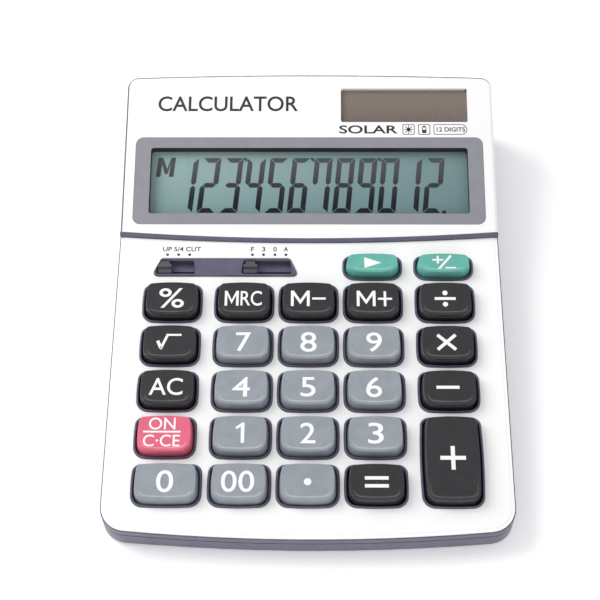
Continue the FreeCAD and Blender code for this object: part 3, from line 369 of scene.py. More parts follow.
dustColour = (0.6, 0.6, 0.58)
silverDust = (0.45, 0.43, 0.4)
tarnishShare = 0.72  # how bright tarnished metal is beside clean metal
# the cell's corner colours hold painted light: lighter at the rear left, darker at the front right
panelLook = {"lowerLeft": (0.19, 0.305, 0.3), "lowerRight": (0.132, 0.222, 0.232),
             "upperLeft": (0.275, 0.4, 0.38), "upperRight": (0.17, 0.265, 0.265), "across": (-0.048, 0.048),
             "along": (0.026, 0.046), "electrode": (0.17, 0.3, 0.34), "dust": (0.7, 0.74, 0.72)}
# the segments' rear colour is a painted reflection
segmentLook = {"front": (0.006, 0.009, 0.016), "rear": (0.08, 0.083, 0.09), "grain": (0.1, 0.11, 0.12),
               "reflectionStart": 0.031, "reflectionEnd": 0.046}
boardLook = {"mask": (0.015, 0.09, 0.035), "track": (0.05, 0.22, 0.08), "weave": (0.1, 0.28, 0.12)}
# the cell's front and rear colours are painted light, a ramp from darker front to lighter rear
solarLook = {"front": (0.125, 0.105, 0.088), "rear": (0.2, 0.157, 0.128), "cloud": (0.17, 0.148, 0.13),
             "along": (0.052, 0.064), "line": (0.08, 0.06, 0.05), "lineWidth": 0.12 * mm,
             "bandStart": 9.5 * mm, "bandWidth": 9.46 * mm}

housingPlastic = moulded("housingPlastic", {"base": (0.096, 0.092, 0.146), "roughness": 0.33, "mottle": 0.07,
                                            "specular": 0.6, "dust": 0.15})
sliderPlastic = moulded("sliderPlastic", {"base": (0.07, 0.07, 0.078), "roughness": 0.4, "dust": 0.2})
framePlastic = moulded("framePlastic", {"base": (0.5, 0.5, 0.48), "roughness": 0.5})
wellPlastic = moulded("wellPlastic", {"base": (0.02, 0.02, 0.024), "roughness": 0.6, "specular": 0.2})
keyPlastics = {
    # each key's ridge highlight colour is a painted highlight on its raised front line
    "key_charcoal": moulded("charcoalPlastic", {"base": (0.025, 0.025, 0.028), "roughness": 0.3, "dust": 0.25,
                                                "specular": 0.4, "ridgeHighlight": (0.16, 0.155, 0.15)}),
    "key_grey": moulded("greyPlastic", {"base": (0.275, 0.305, 0.33), "roughness": 0.36, "mottle": 0.05,
                                        "ridgeHighlight": (0.55, 0.57, 0.58)}),
    "key_coral": moulded("coralPlastic", {"base": (0.72, 0.125, 0.2), "roughness": 0.3, "mottle": 0.05,
                                          "ridgeHighlight": (0.95, 0.4, 0.47)}),
    "key_green": moulded("greenPlastic", {"base": (0.12, 0.43, 0.35), "roughness": 0.3, "mottle": 0.05,
                                          "ridgeHighlight": (0.3, 0.68, 0.58)}),
}
plateSilver = silvered("plateSilver", {"low": (0.93, 0.93, 0.91), "high": (0.96, 0.96, 0.94),
                                       "roughness": 0.42, "metallic": 0.1})
# the cover's edge colour is painted shade on its rolled rear and left edges
coverSilver = silvered("coverSilver", {"low": (0.92, 0.92, 0.905), "high": (0.95, 0.95, 0.935),
                                       "roughness": 0.36, "metallic": 0.1, "edge": (0.07, 0.07, 0.075),
                                       "edgeShare": 0.97, "rearRoll": (0.04, 0.18), "leftRoll": (0.12, 0.5),
                                       "wallStart": (0.9, 0.985)})
legendWhite = moulded("legendWhite", {"base": (0.88, 0.88, 0.87), "roughness": 0.5, "mottle": 0.02,
                                      "dust": 0.1, "specular": 0.4})
printBlack = moulded("printBlack", {"base": (0.015, 0.015, 0.018), "roughness": 0.5, "mottle": 0.1,
                                    "dust": 0.15})
maskPrint = moulded("maskPrint", {"base": (0.25, 0.25, 0.275), "roughness": 0.45, "mottle": 0.03,
                                  "dust": 0.1})
footRubber = moulded("footRubber", {"base": (0.03, 0.03, 0.032), "roughness": 0.8, "grainScale": 2500.0,
                                    "grainDepth": 0.00006, "dust": 0.5, "specular": 0.3})
domeRubber = moulded("domeRubber", {"base": (0.55, 0.56, 0.55), "roughness": 0.7, "specular": 0.3})
carbonPrint = moulded("carbonPrint", {"base": (0.02, 0.02, 0.02), "roughness": 0.75, "grainScale": 9000.0})
epoxyBlack = moulded("epoxyBlack", {"base": (0.012, 0.012, 0.014), "roughness": 0.25, "mottleScale": 600.0})
capacitorSleeve = striped("capacitorSleeve", {"ground": (0.015, 0.03, 0.09), "stripe": (0.6, 0.62, 0.65),
                                              "pitch": 0.007, "share": 0.12, "roughness": 0.35})
resistorBody = striped("resistorBody", {"ground": (0.6, 0.45, 0.28), "stripe": (0.3, 0.05, 0.02),
                                        "pitch": 0.0009, "share": 0.35, "roughness": 0.4})
flexFilm = striped("flexFilm", {"ground": (0.55, 0.35, 0.1), "stripe": (0.12, 0.1, 0.08), "pitch": 0.001,
                                "share": 0.5, "roughness": 0.35})
leadRed = moulded("leadRed", {"base": (0.55, 0.02, 0.02), "roughness": 0.45})
leadBlack = moulded("leadBlack", {"base": (0.02, 0.02, 0.02), "roughness": 0.45})
screwSteel = metal("screwSteel", (0.42, 0.41, 0.4), 0.3)
springSteel = metal("springSteel", (0.62, 0.61, 0.58), 0.22)
cellSteel = metal("cellSteel", (0.72, 0.71, 0.69), 0.18)
wiperBrass = metal("wiperBrass", (0.75, 0.55, 0.25), 0.25)
clearWindow = clearPane("clearWindow", {"base": (0.9, 0.92, 0.95), "low": 0.004, "high": 0.014,
                                        "dust": 0.3})
crystalCell = crystalPanel()
crystalBlack = crystalInk()
crystalBack = metal("crystalBack", (0.55, 0.57, 0.56), 0.45)
solarCell = solarFilm()
boardMask = laminate()
print("stage: finishes")


letterLook = {"size": 10 * mm, "half": 0.03 * mm, "resolution": 5, "keyWeight": 0.06 * mm,
              "printWeight": 0.1 * mm, "digitsWeight": 0.14 * mm, "solarWeight": 0.16 * mm}


def textMesh(name, words, width, height, weight):
    # lettering as a thin slab, centred and scaled to a width and height in millimetres, thickened before that
    curve = bpy.data.curves.new(name + "Curve", "FONT")
    curve.body = words
    curve.size = letterLook["size"]
    curve.resolution_u = letterLook["resolution"]
    curve.extrude = letterLook["half"]
    curve.offset = weight
    holder = bpy.data.objects.new(name + "Holder", curve)
    scene.collection.objects.link(holder)
    bpy.context.view_layer.update()
    mesh = bpy.data.meshes.new_from_object(holder.evaluated_get(bpy.context.evaluated_depsgraph_get()))
    bpy.data.objects.remove(holder)
    bpy.data.curves.remove(curve)
    xs = [v.co.x for v in mesh.vertices]
    ys = [v.co.y for v in mesh.vertices]
    mesh.transform(Matrix.Translation((-(min(xs) + max(xs)) / 2, -(min(ys) + max(ys)) / 2, 0)))
    wider, taller = width * mm / (max(xs) - min(xs)), height * mm / (max(ys) - min(ys))
    mesh.transform(Matrix.Diagonal((wider, taller, 1, 1)))
    made = bpy.data.objects.new(name, mesh)
    scene.collection.objects.link(made)
    return made


def slab(name, outlines, thickness=0.06):
    # flat printed shapes: each outline is a closed list of (x, y) in millimetres
    vertices, faces = [], []
    for outline in outlines:
        start = len(vertices)
        size = len(outline)
        for level in (-thickness / 2, thickness / 2):
            vertices += [Vector((x * mm, y * mm, level * mm)) for x, y in outline]
        faces.append(tuple(range(start + size - 1, start - 1, -1)))
        faces.append(tuple(range(start + size, start + 2 * size)))
        for step in range(size):
            following = (step + 1) % size
            faces.append((start + step, start + following, start + size + following, start + size + step))
    return meshObject(name, vertices, faces, smooth=False)


def disc(x, y, radius, steps=28):
    turns = [2 * math.pi * step / steps for step in range(steps)]
    return [(x + radius * math.cos(turn), y + radius * math.sin(turn)) for turn in turns]


def bar(x, y, width, height, turn=0.0):
    cos, sin = math.cos(math.radians(turn)), math.sin(math.radians(turn))
    halfW, halfH = width / 2, height / 2
    corners = [(-halfW, -halfH), (halfW, -halfH), (halfW, halfH), (-halfW, halfH)]
    return [(x + a * cos - b * sin, y + a * sin + b * cos) for a, b in corners]


def stroke(start, end, width):
    # a straight stroke between two points
    length = math.hypot(end[0] - start[0], end[1] - start[1])
    turn = math.degrees(math.atan2(end[1] - start[1], end[0] - start[0]))
    return bar((start[0] + end[0]) / 2, (start[1] + end[1]) / 2, length, width, turn)


def ring(outer, inner):
    # the flat quads between two outlines with the same number of points
    following = [*range(1, len(outer)), 0]
    return [[outer[i], outer[j], inner[j], inner[i]] for i, j in enumerate(following)]


def band(name, outer, inner, low, high):
    # a closed band of one height between two outlines with the same number of points, in millimetres
    count = len(outer)
    loops = [(outer, low), (outer, high), (inner, high), (inner, low)]
    vertices = [Vector((x, y, level)) * mm for outline, level in loops for x, y in outline]
    faces = []
    for loop in range(len(loops)):
        start, following = loop * count, (loop + 1) % len(loops) * count
        for step in range(count):
            turn = (step + 1) % count
            faces.append((start + step, start + turn, following + turn, following + step))
    return meshObject(name, vertices, faces, smooth=False)


def roundedOutline(width, height, radius, steps=5, leftRadius=None):
    points = []
    for sx, sy, start in ((1, 1, 0), (-1, 1, 90), (-1, -1, 180), (1, -1, 270)):
        corner = radius if sx > 0 or leftRadius is None else leftRadius
        for step in range(steps + 1):
            turn = math.radians(start + 90 * step / steps)
            points.append((sx * (width / 2 - corner) + corner * math.cos(turn),
                           sy * (height / 2 - corner) + corner * math.sin(turn)))
    return points


def moved(outline, dx, dy):
    return [(x + dx, y + dy) for x, y in outline]


# a key cap in millimetres: its collar and gap, its outline, its walls, its top and the flange under it
keyShape = {
    "collar": 0.6, "gap": 0.35, "bow": 0.45, "rearRadius": 2.4, "frontRadius": 3.4, "leastRadius": 0.5,
    "sideSteps": 14, "cornerSteps": 9, "height": 3.5, "sideTaper": 0.45, "frontTaper": 0.2, "rearTaper": 0.1,
    "wallSteps": 5, "round": 0.4, "roundSteps": 6, "dish": 0.24, "topRings": 22, "ringSpread": 1.5,
    "roll": 0.8, "rollDrop": 0.4, "lipWidth": 0.65, "ridgeWidth": 0.16, "ridgeFade": 2.2,
    "flange": 0.8, "overlap": 0.8, "flangeTop": -1.9,
}


def barrelOutline(width, depth, frontRadius, rearRadius, shift):
    # a rounded rectangle with swelling sides, walked round from the middle of the right side
    look = keyShape
    bow = look["bow"]
    halfW, halfD = width / 2 - bow, depth / 2 - bow
    corners = [
        (halfW - rearRadius, halfD - rearRadius, rearRadius, 0),
        (-halfW + rearRadius, halfD - rearRadius, rearRadius, 90),
        (-halfW + frontRadius, -halfD + frontRadius, frontRadius, 180),
        (halfW - frontRadius, -halfD + frontRadius, frontRadius, 270),
    ]
    points = []
    for index, (cx, cy, radius, start) in enumerate(corners):
        for step in range(look["cornerSteps"] + 1):
            angle = math.radians(start + 90 * step / look["cornerSteps"])
            points.append((cx + radius * math.cos(angle), cy + radius * math.sin(angle)))
        nextX, nextY, nextRadius = corners[(index + 1) % 4][:3]
        angle = math.radians(start + 90)
        first = points[-1]
        last = (nextX + nextRadius * math.cos(angle), nextY + nextRadius * math.sin(angle))
        for step in range(1, look["sideSteps"]):
            share = step / look["sideSteps"]
            points.append(tuple(first[i] + (last[i] - first[i]) * share for i in range(2)))
    swollen = []
    for x, y in points:
        outX = x * (1 + bow / halfW * (1 - (y / halfD) ** 2))
        outY = y * (1 + bow / halfD * (1 - (x / halfW) ** 2))
        swollen.append((outX, outY + shift))
    return swollen


class KeyTop:
    # where a key's top lies: its middle across the depth and the height of the trough there
    def __init__(self, width, depth):
        look = keyShape
        self.halfWidth = width / 2 - look["collar"] - look["gap"] - look["sideTaper"]
        self.front = look["collar"] + look["gap"] + look["frontTaper"]
        self.rear = look["collar"] + look["gap"] + look["rearTaper"]
        self.half = (depth - self.front - self.rear) / 2 - look["round"]
        self.middle = (self.front - self.rear) / 2

    def height(self, x, y):
        # the front rolls over ahead of a raised line that follows the swollen front edge
        look = keyShape
        swell = look["bow"] * min(1.0, x * x / self.halfWidth ** 2)
        front = self.middle - self.half - look["round"] + swell
        behind = y - front - look["roll"]
        if behind < 0:
            return look["height"] - look["rollDrop"] * (behind / look["roll"]) ** 2
        share = min(1.0, behind / look["lipWidth"])
        rear = max(0.0, (y - self.middle) / self.half)
        return look["height"] - look["dish"] * share * share * (3 - 2 * share) * (1 - min(1.0, rear ** 4))


def markRidge(piece, top, rim, firstRing, rings):
    # marks how strongly each point of a key's top lies on its raised front line
    look = keyShape
    marks = piece.data.attributes.new("ridge", "FLOAT", "POINT")
    for level in range(firstRing, rings):
        inward = ((level - firstRing + 1) / look["topRings"]) ** look["ringSpread"]
        off = (inward * top.half - look["roll"] + look["round"]) / look["ridgeWidth"]
        for step, point in enumerate(rim):
            towardsFront = (top.middle - point.y) / top.half * look["ridgeFade"] - 1.0
            share = min(1.0, max(0.0, towardsFront))
            marks.data[level * len(rim) + step].value = math.exp(-off * off) * share


def keyMesh(name, width, depth):
    look = keyShape
    top = KeyTop(width, depth)
    base = look["collar"] + look["gap"]
    flare = look["collar"] - look["overlap"]
    shoulder = look["height"] - look["round"]
    flangeTop = look["flangeTop"]
    # each section: its height, then how far its sides, front and rear are set in
    sections = [(flangeTop - look["flange"], flare, flare, flare), (flangeTop, flare, flare, flare),
                (flangeTop, base, base, base), (0.0, base, base, base)]
    for step in range(1, look["wallSteps"] + 1):
        share = step / look["wallSteps"]
        sections.append((shoulder * share, base + look["sideTaper"] * share,
                         base + look["frontTaper"] * share, base + look["rearTaper"] * share))
    for step in range(1, look["roundSteps"] + 1):
        angle = math.radians(90 * step / look["roundSteps"])
        inset = look["round"] * (1 - math.cos(angle))
        sections.append((shoulder + look["round"] * math.sin(angle), base + look["sideTaper"] + inset,
                         top.front + inset, top.rear + inset))
    vertices = []
    for height, side, front, rear in sections:
        frontRadius = max(look["frontRadius"] - side, look["leastRadius"])
        rearRadius = max(look["rearRadius"] - side, look["leastRadius"])
        outline = barrelOutline(width - 2 * side, depth - front - rear, frontRadius, rearRadius,
                                (front - rear) / 2)
        vertices += [Vector((x, y, min(height, top.height(x, y)))) for x, y in outline]
    count = len(vertices) // len(sections)
    rim = vertices[-count:]
    for step in range(1, look["topRings"]):
        share = 1 - (step / look["topRings"]) ** look["ringSpread"]
        for point in rim:
            x, y = point.x * share, top.middle + (point.y - top.middle) * share
            vertices.append(Vector((x, y, top.height(x, y))))
    rings = len(vertices) // count
    faces = []
    for level in range(rings - 1):
        low, high = level * count, (level + 1) * count
        for step in range(count):
            following = (step + 1) % count
            faces.append((low + step, low + following, high + following, high + step))
    vertices.append(Vector((0, top.middle, top.height(0, top.middle))))
    vertices.append(Vector((0, 0, sections[0][0])))
    last = (rings - 1) * count
    for step in range(count):
        following = (step + 1) % count
        faces.append((last + step, last + following, len(vertices) - 2))
        faces.append((following, step, len(vertices) - 1))
    made = meshObject(name, [v * mm for v in vertices], faces)
    markRidge(made, top, rim, len(sections), rings)
    return made, top


# legends: lettering as (words, width, height, right, rear) and drawn shapes, in millimetres
lettering = {
    "key_7": [("7", 4.2, 5.85, 0.25, 0)], "key_8": [("8", 4.5, 6.1, 0.05, 0)],
    "key_9": [("9", 4.35, 5.95, 0, 0)], "key_4": [("4", 4.8, 5.8, 0, 0)],
    "key_5": [("5", 4.1, 5.8, 0, 0.05)], "key_6": [("6", 4.35, 6.05, -0.25, 0)],
    "key_2": [("2", 4.1, 5.95, 0, 0.15)], "key_3": [("3", 4.2, 6.05, 0, 0.15)],
    "key_0": [("0", 4.55, 6.2, -0.1, 0)], "key_00": [("00", 8.8, 6.0, -0.25, 0.05)],
    "key_percent": [("%", 7.1, 6.2, 0, 0.05)], "key_memory_recall": [("RC", 6.0, 4.7, 2.1, 0)],
    "key_all_clear": [("AC", 9.2, 5.1, -0.2, 0.05)],
    "key_on_clear": [("ON", 7.2, 3.45, -0.6, 2.75), ("C·CE", 9.9, 3.45, -0.6, -2.15)],
}


def letterM(x, width, height, pen):
    # two uprights and two slanting strokes that meet low in the middle
    side, top, drop, low = width / 2, height / 2, pen * 1.75, -height * 0.38
    inner = side - pen
    return [bar(x - side + pen / 2, 0, pen, height), bar(x + side - pen / 2, 0, pen, height),
            [(x - inner, top), (x - inner, top - drop), (x, low), (x, low + drop)],
            [(x, low + drop), (x, low), (x + inner, top - drop), (x + inner, top)]]


crossTurn = 42  # how far the strokes of the multiplying sign lean, in degrees
drawnShapes = {
    "key_memory_recall": letterM(-3.4, 3.95, 4.7, 0.72),
    "key_1": [[(0.25, -2.75), (1.2, -2.75), (1.2, 3.1), (0.5, 3.1), (-1.25, 1.8), (-0.9, 1.2), (0.25, 1.95)]],
    "key_memory_minus": letterM(-2.3, 5.3, 4.9, 0.8) + [bar(2.95, -0.05, 3.8, 0.65)],
    "key_memory_plus": letterM(-2.0, 5.3, 4.9, 0.8) + [bar(3.3, -0.1, 4.0, 0.65), bar(3.3, 1.25, 0.7, 2.05),
                                                       bar(3.3, -1.45, 0.7, 2.05)],
    "key_divide": [bar(-0.15, 0, 5.9, 0.88), disc(-0.15, 1.8, 0.74), disc(-0.15, -1.8, 0.74)],
    "key_multiply": [bar(-0.3, 0, 6.8, 0.95, crossTurn), bar(-1.73, 1.29, 2.9, 0.95, -crossTurn),
                     bar(1.13, -1.29, 2.9, 0.95, -crossTurn)],
    "key_minus": [bar(-0.5, 0, 6.3, 0.9)],
    "key_plus": [bar(0, 0, 6.8, 1.1), bar(0, 1.95, 1.1, 2.8), bar(0, -1.95, 1.1, 2.8)],
    "key_equals": [bar(0, 1.1, 6.3, 0.95), bar(0, -1.1, 6.3, 0.95)],
    "key_point": [disc(0, 0, 1.0)],
    "key_backspace": [[(-2.35, -1.75), (2.5, 0), (-2.35, 1.75)]],
    "key_sign": [bar(-1.75, 0.95, 3.1, 0.55), bar(-1.75, 1.7, 0.6, 0.95), bar(-1.75, 0.2, 0.6, 0.95),
                 stroke((2.0, 2.3), (-1.75, -2.35), 0.65), bar(1.85, -1.65, 3.05, 0.5)],
    "key_root": [stroke((-3.2, 0.3), (-2.15, -2.1), 0.9), stroke((-2.3, -2.3), (-0.4, 2.35), 0.72),
                 bar(1.4, 2.1, 3.9, 0.58)],
    "key_on_clear": [bar(-0.6, 0.42, 10.1, 0.5)],
}

legendStrip = 0.6 * mm


def drape(piece, top, right, rear):
    # a flat legend, cut into strips and bent onto the trough of a key's top
    work = bmesh.new()
    work.from_mesh(piece.data)
    ys = [v.co.y for v in work.verts]
    level = min(ys) + legendStrip
    while level < max(ys):
        geometry = work.verts[:] + work.edges[:] + work.faces[:]
        bmesh.ops.bisect_plane(work, geom=geometry, plane_co=(0, level, 0), plane_no=(0, 1, 0))
        level += legendStrip
    for vertex in work.verts:
        x, y = vertex.co.x / mm + right, vertex.co.y / mm + top.middle + rear
        vertex.co = Vector((x * mm, y * mm, vertex.co.z + top.height(x, y) * mm))
    work.to_mesh(piece.data)
    work.free()


def buildKeys():
    slots = {row["node"]: row["material_slot"] for row in frame["record"]["subparts"]}
    grow = 2 * (keyShape["overlap"] - keyShape["collar"])
    for node in sorted(name for name in frame["nodes"] if name.startswith("key_")):
        low, high = keypad.reach(node)
        centre = (low + high) / 2
        place = keypad.matrix(centre.x, centre.y, 0)
        key, top = keyMesh(node + "_cap", (high.x - low.x) / mm - grow, (high.y - low.y) / mm - grow)
        settle(key, node, keyPlastics[slots[node]], place)
        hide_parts(node)
        for index, (words, width, height, right, rear) in enumerate(lettering.get(node, [])):
            piece = textMesh(f"{node}_letters{index}", words, width, height, letterLook["keyWeight"])
            drape(piece, top, right, rear)
            settle(piece, node, legendWhite, place)
        if node in drawnShapes:
            piece = slab(node + "_sign", drawnShapes[node])
            drape(piece, top, 0, 0)
            settle(piece, node, legendWhite, place)


buildKeys()
print("stage: keys")


# the crystal's figures in millimetres: one digit, the row of digits, then the memory sign
crystalLook = {"width": 5.35, "height": 17.7, "stroke": 1.5, "gap": 0.09, "slant": 5.5, "pitch": 6.66,
               "firstX": -36.35, "front": 9.15, "lift": 0.03, "film": 0.02, "comma": 0.75,
               "point": (-0.5, 0.2, 0.62), "memoryLeft": -45.6, "memoryFront": 11.6, "memoryNarrow": 0.9}
commaOutline = [(-0.75, 17.6), (0, 17.9), (0.6, 17.3), (0.45, 16.5), (-0.15, 16.7)]
memoryOutlines = [
    [(0, 0), (1.5, 0), (2.15, 6.2), (0.65, 6.2)], [(4.3, 0), (5.8, 0), (6.45, 6.2), (4.95, 6.2)],
    [(2.2, 6.2), (1.95, 4.2), (2.9, 0.9), (3.8, 0.9), (3.6, 2.6)],
    [(4.9, 6.2), (3.65, 2.6), (3.85, 0.9), (4.7, 4.2)],
]
segmentsOf = {"0": "abcdef", "1": "bc", "2": "abged", "3": "abgcd", "4": "fgbc", "5": "afgcd", "6": "afgedc",
              "7": "fabc", "8": "abcdefg", "9": "abcdfg"}


def segmentOutlines(digit):
    look = crystalLook
    w, h, s, g = look["width"], look["height"], look["stroke"], look["gap"]
    m = h / 2
    shapes = {
        "a": [(g * 2, h), (s + g, h - s), (w - s - g, h - s), (w - g * 2, h)],
        "d": [(g * 2, 0), (w - g * 2, 0), (w - s - g, s), (s + g, s)],
        "b": [(w, h - g * 2), (w - s, h - s - g), (w - s, m + s / 2 + g), (w - s / 2, m + g),
              (w, m + s / 2 + g)],
        "c": [(w, g * 2), (w, m - s / 2 - g), (w - s / 2, m - g), (w - s, m - s / 2 - g), (w - s, s + g)],
        "g": [(s / 2 + g, m), (s + g, m - s / 2), (w - s - g, m - s / 2), (w - s / 2 - g, m),
              (w - s - g, m + s / 2), (s + g, m + s / 2)],
    }
    shapes["f"] = [(w - x, y) for x, y in reversed(shapes["b"])]
    shapes["e"] = [(w - x, y) for x, y in reversed(shapes["c"])]
    lean = math.tan(math.radians(look["slant"]))
    return [[(x - w / 2 + y * lean, y) for x, y in shapes[part]] for part in segmentsOf[digit]]


def buildCrystal():
    look = crystalLook
    low, high = display.reach("lcd_front_glass")
    lean = math.tan(math.radians(look["slant"]))
    outlines = []
    for index, digit in enumerate("123456789012"):
        x = look["firstX"] + index * look["pitch"]
        outlines += [moved(shape, x - look["height"] / 2 * lean, 0) for shape in segmentOutlines(digit)]
        if index in (2, 5, 8):
            outlines.append(moved(commaOutline, x + look["pitch"] / 2 + look["comma"], 0))
    right, rear, radius = look["point"]
    rowEnd = look["firstX"] + 11.5 * look["pitch"]
    outlines.append(disc(rowEnd + right, rear, radius, 16))
    for shape in memoryOutlines:
        narrowed = [(x * look["memoryNarrow"], y) for x, y in shape]
        outlines.append(moved(narrowed, look["memoryLeft"], look["memoryFront"]))
    piece = slab("crystal_segments", outlines, look["film"])
    settle(piece, "case", crystalBlack,
           display.matrix(0, look["front"] * mm, high.z + look["lift"] * mm))


# prints on the keypad face: each label's words, width and middle across it, and each dot's place
switchPrints = {
    "labels": {"rounding_label": ("UP 5/4 CUT", 11.0, -36.8), "decimal_label_f": ("F", 0.95, -16.3),
               "decimal_label_3": ("3", 0.95, -13.1), "decimal_label_0": ("0", 1.0, -9.8),
               "decimal_label_a": ("A", 1.25, -6.6)},
    "labelRow": 87.3, "labelHeight": 1.5, "dots": (-40.9, -37.7, -34.5, -16.3, -13.1, -9.8, -6.6),
    "dotRow": 85.45, "dotRadius": 0.42, "film": 0.02, "lift": 0.01,
}


def buildSwitchPrints():
    look = switchPrints
    lift = look["lift"] * mm
    dots = [disc(x, look["dotRow"], look["dotRadius"], 18) for x in look["dots"]]
    settle(slab("switch_dots", dots, look["film"]), "case", printBlack,
           keypad.matrix(0, 0, lift))
    for name, (words, width, x) in look["labels"].items():
        piece = textMesh(name, words, width, look["labelHeight"], letterLook["printWeight"])
        settle(piece, "case", printBlack, keypad.matrix(x * mm, look["labelRow"] * mm, lift))


# prints on the display cover: each word's width, height and place, and the marks below the solar cell
coverPrints = {
    "word": (42.0, 5.0, -24.4, 43.5), "solar": (17.4, 2.7, 17.65), "digits": (8.5, 1.45, 42.25), "row": 34.95,
    "sun": 29.65, "battery": 34.3, "pill": 42.1, "square": (3.6, 3.45, 0.5), "pillSize": (10.05, 3.45, 1.7),
    "pillLeft": 0.5, "line": 0.2, "film": 0.02, "lift": 0.01,
}


def frameLine(outline, width):
    # an outline drawn as a closed line of the given width
    across = max(x for x, y in outline) - min(x for x, y in outline)
    along = max(y for x, y in outline) - min(y for x, y in outline)
    narrow, short = 1 - 2 * width / across, 1 - 2 * width / along
    return ring(outline, [(x * narrow, y * short) for x, y in outline])


def sunMark(square, line):
    shapes = frameLine(square, line) + [disc(0, 0, 0.66, 20)]
    for turn in range(0, 360, 45):
        cos, sin = math.cos(math.radians(turn)), math.sin(math.radians(turn))
        shapes.append(bar(1.08 * cos, 1.08 * sin, 0.55, 0.24, turn))
    return shapes


def batteryMark(square, line):
    can = [moved(shape, 0, -0.15) for shape in frameLine(roundedOutline(1.3, 2.1, 0.2), 0.22)]
    return frameLine(square, line) + [bar(0, 1.05, 0.6, 0.35), bar(0, -0.55, 0.85, 0.85)] + can


def buildCoverPrints():
    look = coverPrints
    lift, row = look["lift"] * mm, look["row"] * mm
    width, height, x, y = look["word"]
    word = textMesh("cover_word", "CALCULATOR", width, height, letterLook["printWeight"])
    settle(word, "case", printBlack, display.matrix(x * mm, y * mm, lift))
    width, height, x = look["solar"]
    word = textMesh("solar_word", "SOLAR", width, height, letterLook["solarWeight"])
    settle(word, "case", printBlack, display.matrix(x * mm, row, lift))
    square, line = roundedOutline(*look["square"]), look["line"]
    pill = frameLine(roundedOutline(*look["pillSize"], 5, look["pillLeft"]), line)
    marks = [moved(shape, look["sun"], 0) for shape in sunMark(square, line)]
    marks += [moved(shape, look["battery"], 0) for shape in batteryMark(square, line)]
    marks += [moved(shape, look["pill"], 0) for shape in pill]
    settle(slab("power_marks", marks, look["film"]), "case", printBlack,
           display.matrix(0, row, lift))
    width, height, x = look["digits"]
    word = textMesh("digits_word", "12 DIGITS", width, height, letterLook["digitsWeight"])
    settle(word, "case", printBlack, display.matrix(x * mm, row, lift))


# the printed border round the crystal: an outline from the window, and an opening set in from its edges
borderLook = {"side": 4.55, "front": 3.35, "rear": 3.4, "radius": 2.3, "openingRadius": 0.9, "cornerSteps": 8,
              "lift": 0.005, "film": 0.02, "wall": 0.12}


def buildBorder():
    look = borderLook
    width, depth = (windowHigh.x - windowLow.x) / mm, (windowHigh.y - windowLow.y) / mm
    middle = (windowLow.y + windowHigh.y) / 2
    outer = roundedOutline(width, depth, look["radius"], look["cornerSteps"])
    openWidth, openDepth = width - 2 * look["side"], depth - look["front"] - look["rear"]
    shift = (look["front"] - look["rear"]) / 2
    opening = roundedOutline(openWidth, openDepth, look["openingRadius"], look["cornerSteps"])
    opening = moved(opening, 0, shift)
    piece = band("window_border", outer, opening, -look["film"] / 2, look["film"] / 2)
    settle(piece, "case", maskPrint, display.matrix(0, middle, look["lift"] * mm))
    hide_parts("window_mask")
    wall = look["wall"]
    outside = roundedOutline(openWidth + 2 * wall, openDepth + 2 * wall, look["openingRadius"] + wall,
                             look["cornerSteps"])
    outside = moved(outside, 0, shift)
    glassTop = display.reach("lcd_front_glass")[1].z / mm
    well = band("window_well", outside, opening, glassTop + look["film"], -look["film"])
    settle(well, "case", wellPlastic, display.matrix(0, middle, 0))


buildCrystal()
buildSwitchPrints()
buildCoverPrints()
buildBorder()
print("stage: display and prints")


finishes = {
    "upper_housing": housingPlastic, "lower_housing": housingPlastic, "battery_cover": housingPlastic,
    "keypad_faceplate": plateSilver, "display_cover": coverSilver, "display_window": clearWindow,
    "window_mask": maskPrint, "solar_window": clearWindow, "solar_cell": solarCell,
    "lcd_front_glass": crystalCell, "lcd_rear_glass": crystalBack, "lcd_frame": framePlastic,
    "lcd_flex": flexFilm, "solar_leads": leadRed,
    "cell_leads": leadBlack, "main_board": boardMask, "controller_blob": epoxyBlack,
    "board_capacitors": capacitorSleeve, "board_resistors": resistorBody, "dome_sheet": domeRubber,
    "contact_pads": carbonPrint, "rounding_slider": sliderPlastic, "rounding_wiper": wiperBrass,
    "decimal_slider": sliderPlastic, "decimal_wiper": wiperBrass, "button_cell": cellSteel,
    "cell_contact_negative": springSteel, "cell_contact_positive": springSteel,
    "battery_cover_screw": screwSteel, "case_screws": screwSteel, "board_screws": screwSteel,
    "lcd_frame_screws": screwSteel, "rubber_feet": footRubber,
}
for node, material in finishes.items():
    mesh = frame["nodes"][node].data
    mesh.materials.clear()
    mesh.materials.append(material)


floorLook = {"half": 3.0, "base": (0.93, 0.93, 0.93), "glow": (0.2, 0.2, 0.2), "roughness": 0.8}
airLook = {"colour": (0.97, 0.965, 1.0), "strength": 0.7}


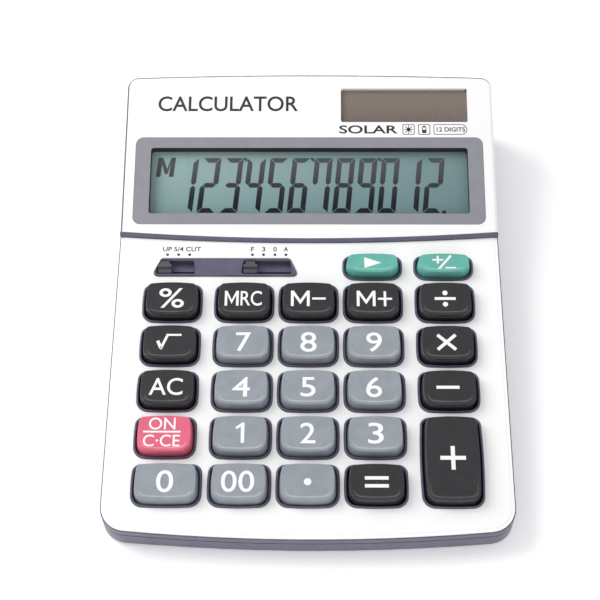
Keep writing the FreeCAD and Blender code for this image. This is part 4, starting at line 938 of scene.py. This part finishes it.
def buildStage():
    half = floorLook["half"]
    corners = [(-half, -half, 0), (half, -half, 0), (half, half, 0), (-half, half, 0)]
    floor = meshObject("studioFloor", corners, [(0, 1, 2, 3)])
    paint = Paint("studioPaper")
    tone = paint.noise(3.0, 2.0)
    colour = paint.mix(tone, floorLook["base"], [c * 1.02 for c in floorLook["base"]])
    paper = paint.finish({"Base Color": colour, "Roughness": floorLook["roughness"],
                          "Emission Color": rgba(floorLook["glow"]), "Emission Strength": 1.0})
    floor.data.materials.append(paper)
    world = bpy.data.worlds.new("studioAir")
    scene.world = world
    world.use_nodes = True
    background = world.node_tree.nodes["Background"]
    background.inputs[0].default_value = rgba(airLook["colour"])
    background.inputs[1].default_value = airLook["strength"]


# the two soft panels, in metres and watts; both are turned to the middle of the floor
panels = {"mainPanel": {"spot": (-0.7, 0.3, 0.72), "size": (0.6, 0.6), "power": 7.2},
          "frontPanel": {"spot": (0.15, -0.8, 0.45), "size": (0.9, 0.6), "power": 1.3}}


def softLight(name, look):
    data = bpy.data.lights.new(name, "AREA")
    data.shape = "RECTANGLE"
    data.size, data.size_y = look["size"]
    data.energy = look["power"]
    light = bpy.data.objects.new(name, data)
    light.location = look["spot"]
    light.rotation_euler = (-Vector(look["spot"])).to_track_quat("-Z", "Y").to_euler()
    scene.collection.objects.link(light)


# the camera: its place in millimetres, the way it looks and its lens
cameraLook = {"eye": (2.51, -214.08, 355.2), "forward": (-0.01228, 0.52978, -0.84805),
              "up": (-0.00147, 0.8481, 0.52983), "lens": 84.94, "sensor": 36.0}


def buildCamera():
    data = bpy.data.cameras.new("studioCamera")
    data.lens = cameraLook["lens"]
    data.sensor_width = cameraLook["sensor"]
    camera = bpy.data.objects.new("studioCamera", data)
    forward = Vector(cameraLook["forward"]).normalized()
    up = Vector(cameraLook["up"]).normalized()
    right = forward.cross(up)
    turned = Matrix([[right[r], up[r], -forward[r]] for r in range(3)]).to_4x4()
    camera.matrix_world = Matrix.Translation(Vector(cameraLook["eye"]) * mm) @ turned
    scene.collection.objects.link(camera)
    scene.camera = camera


buildStage()
for panel, panelPlace in panels.items():
    softLight(panel, panelPlace)
buildCamera()
print("stage: floor, light and camera")
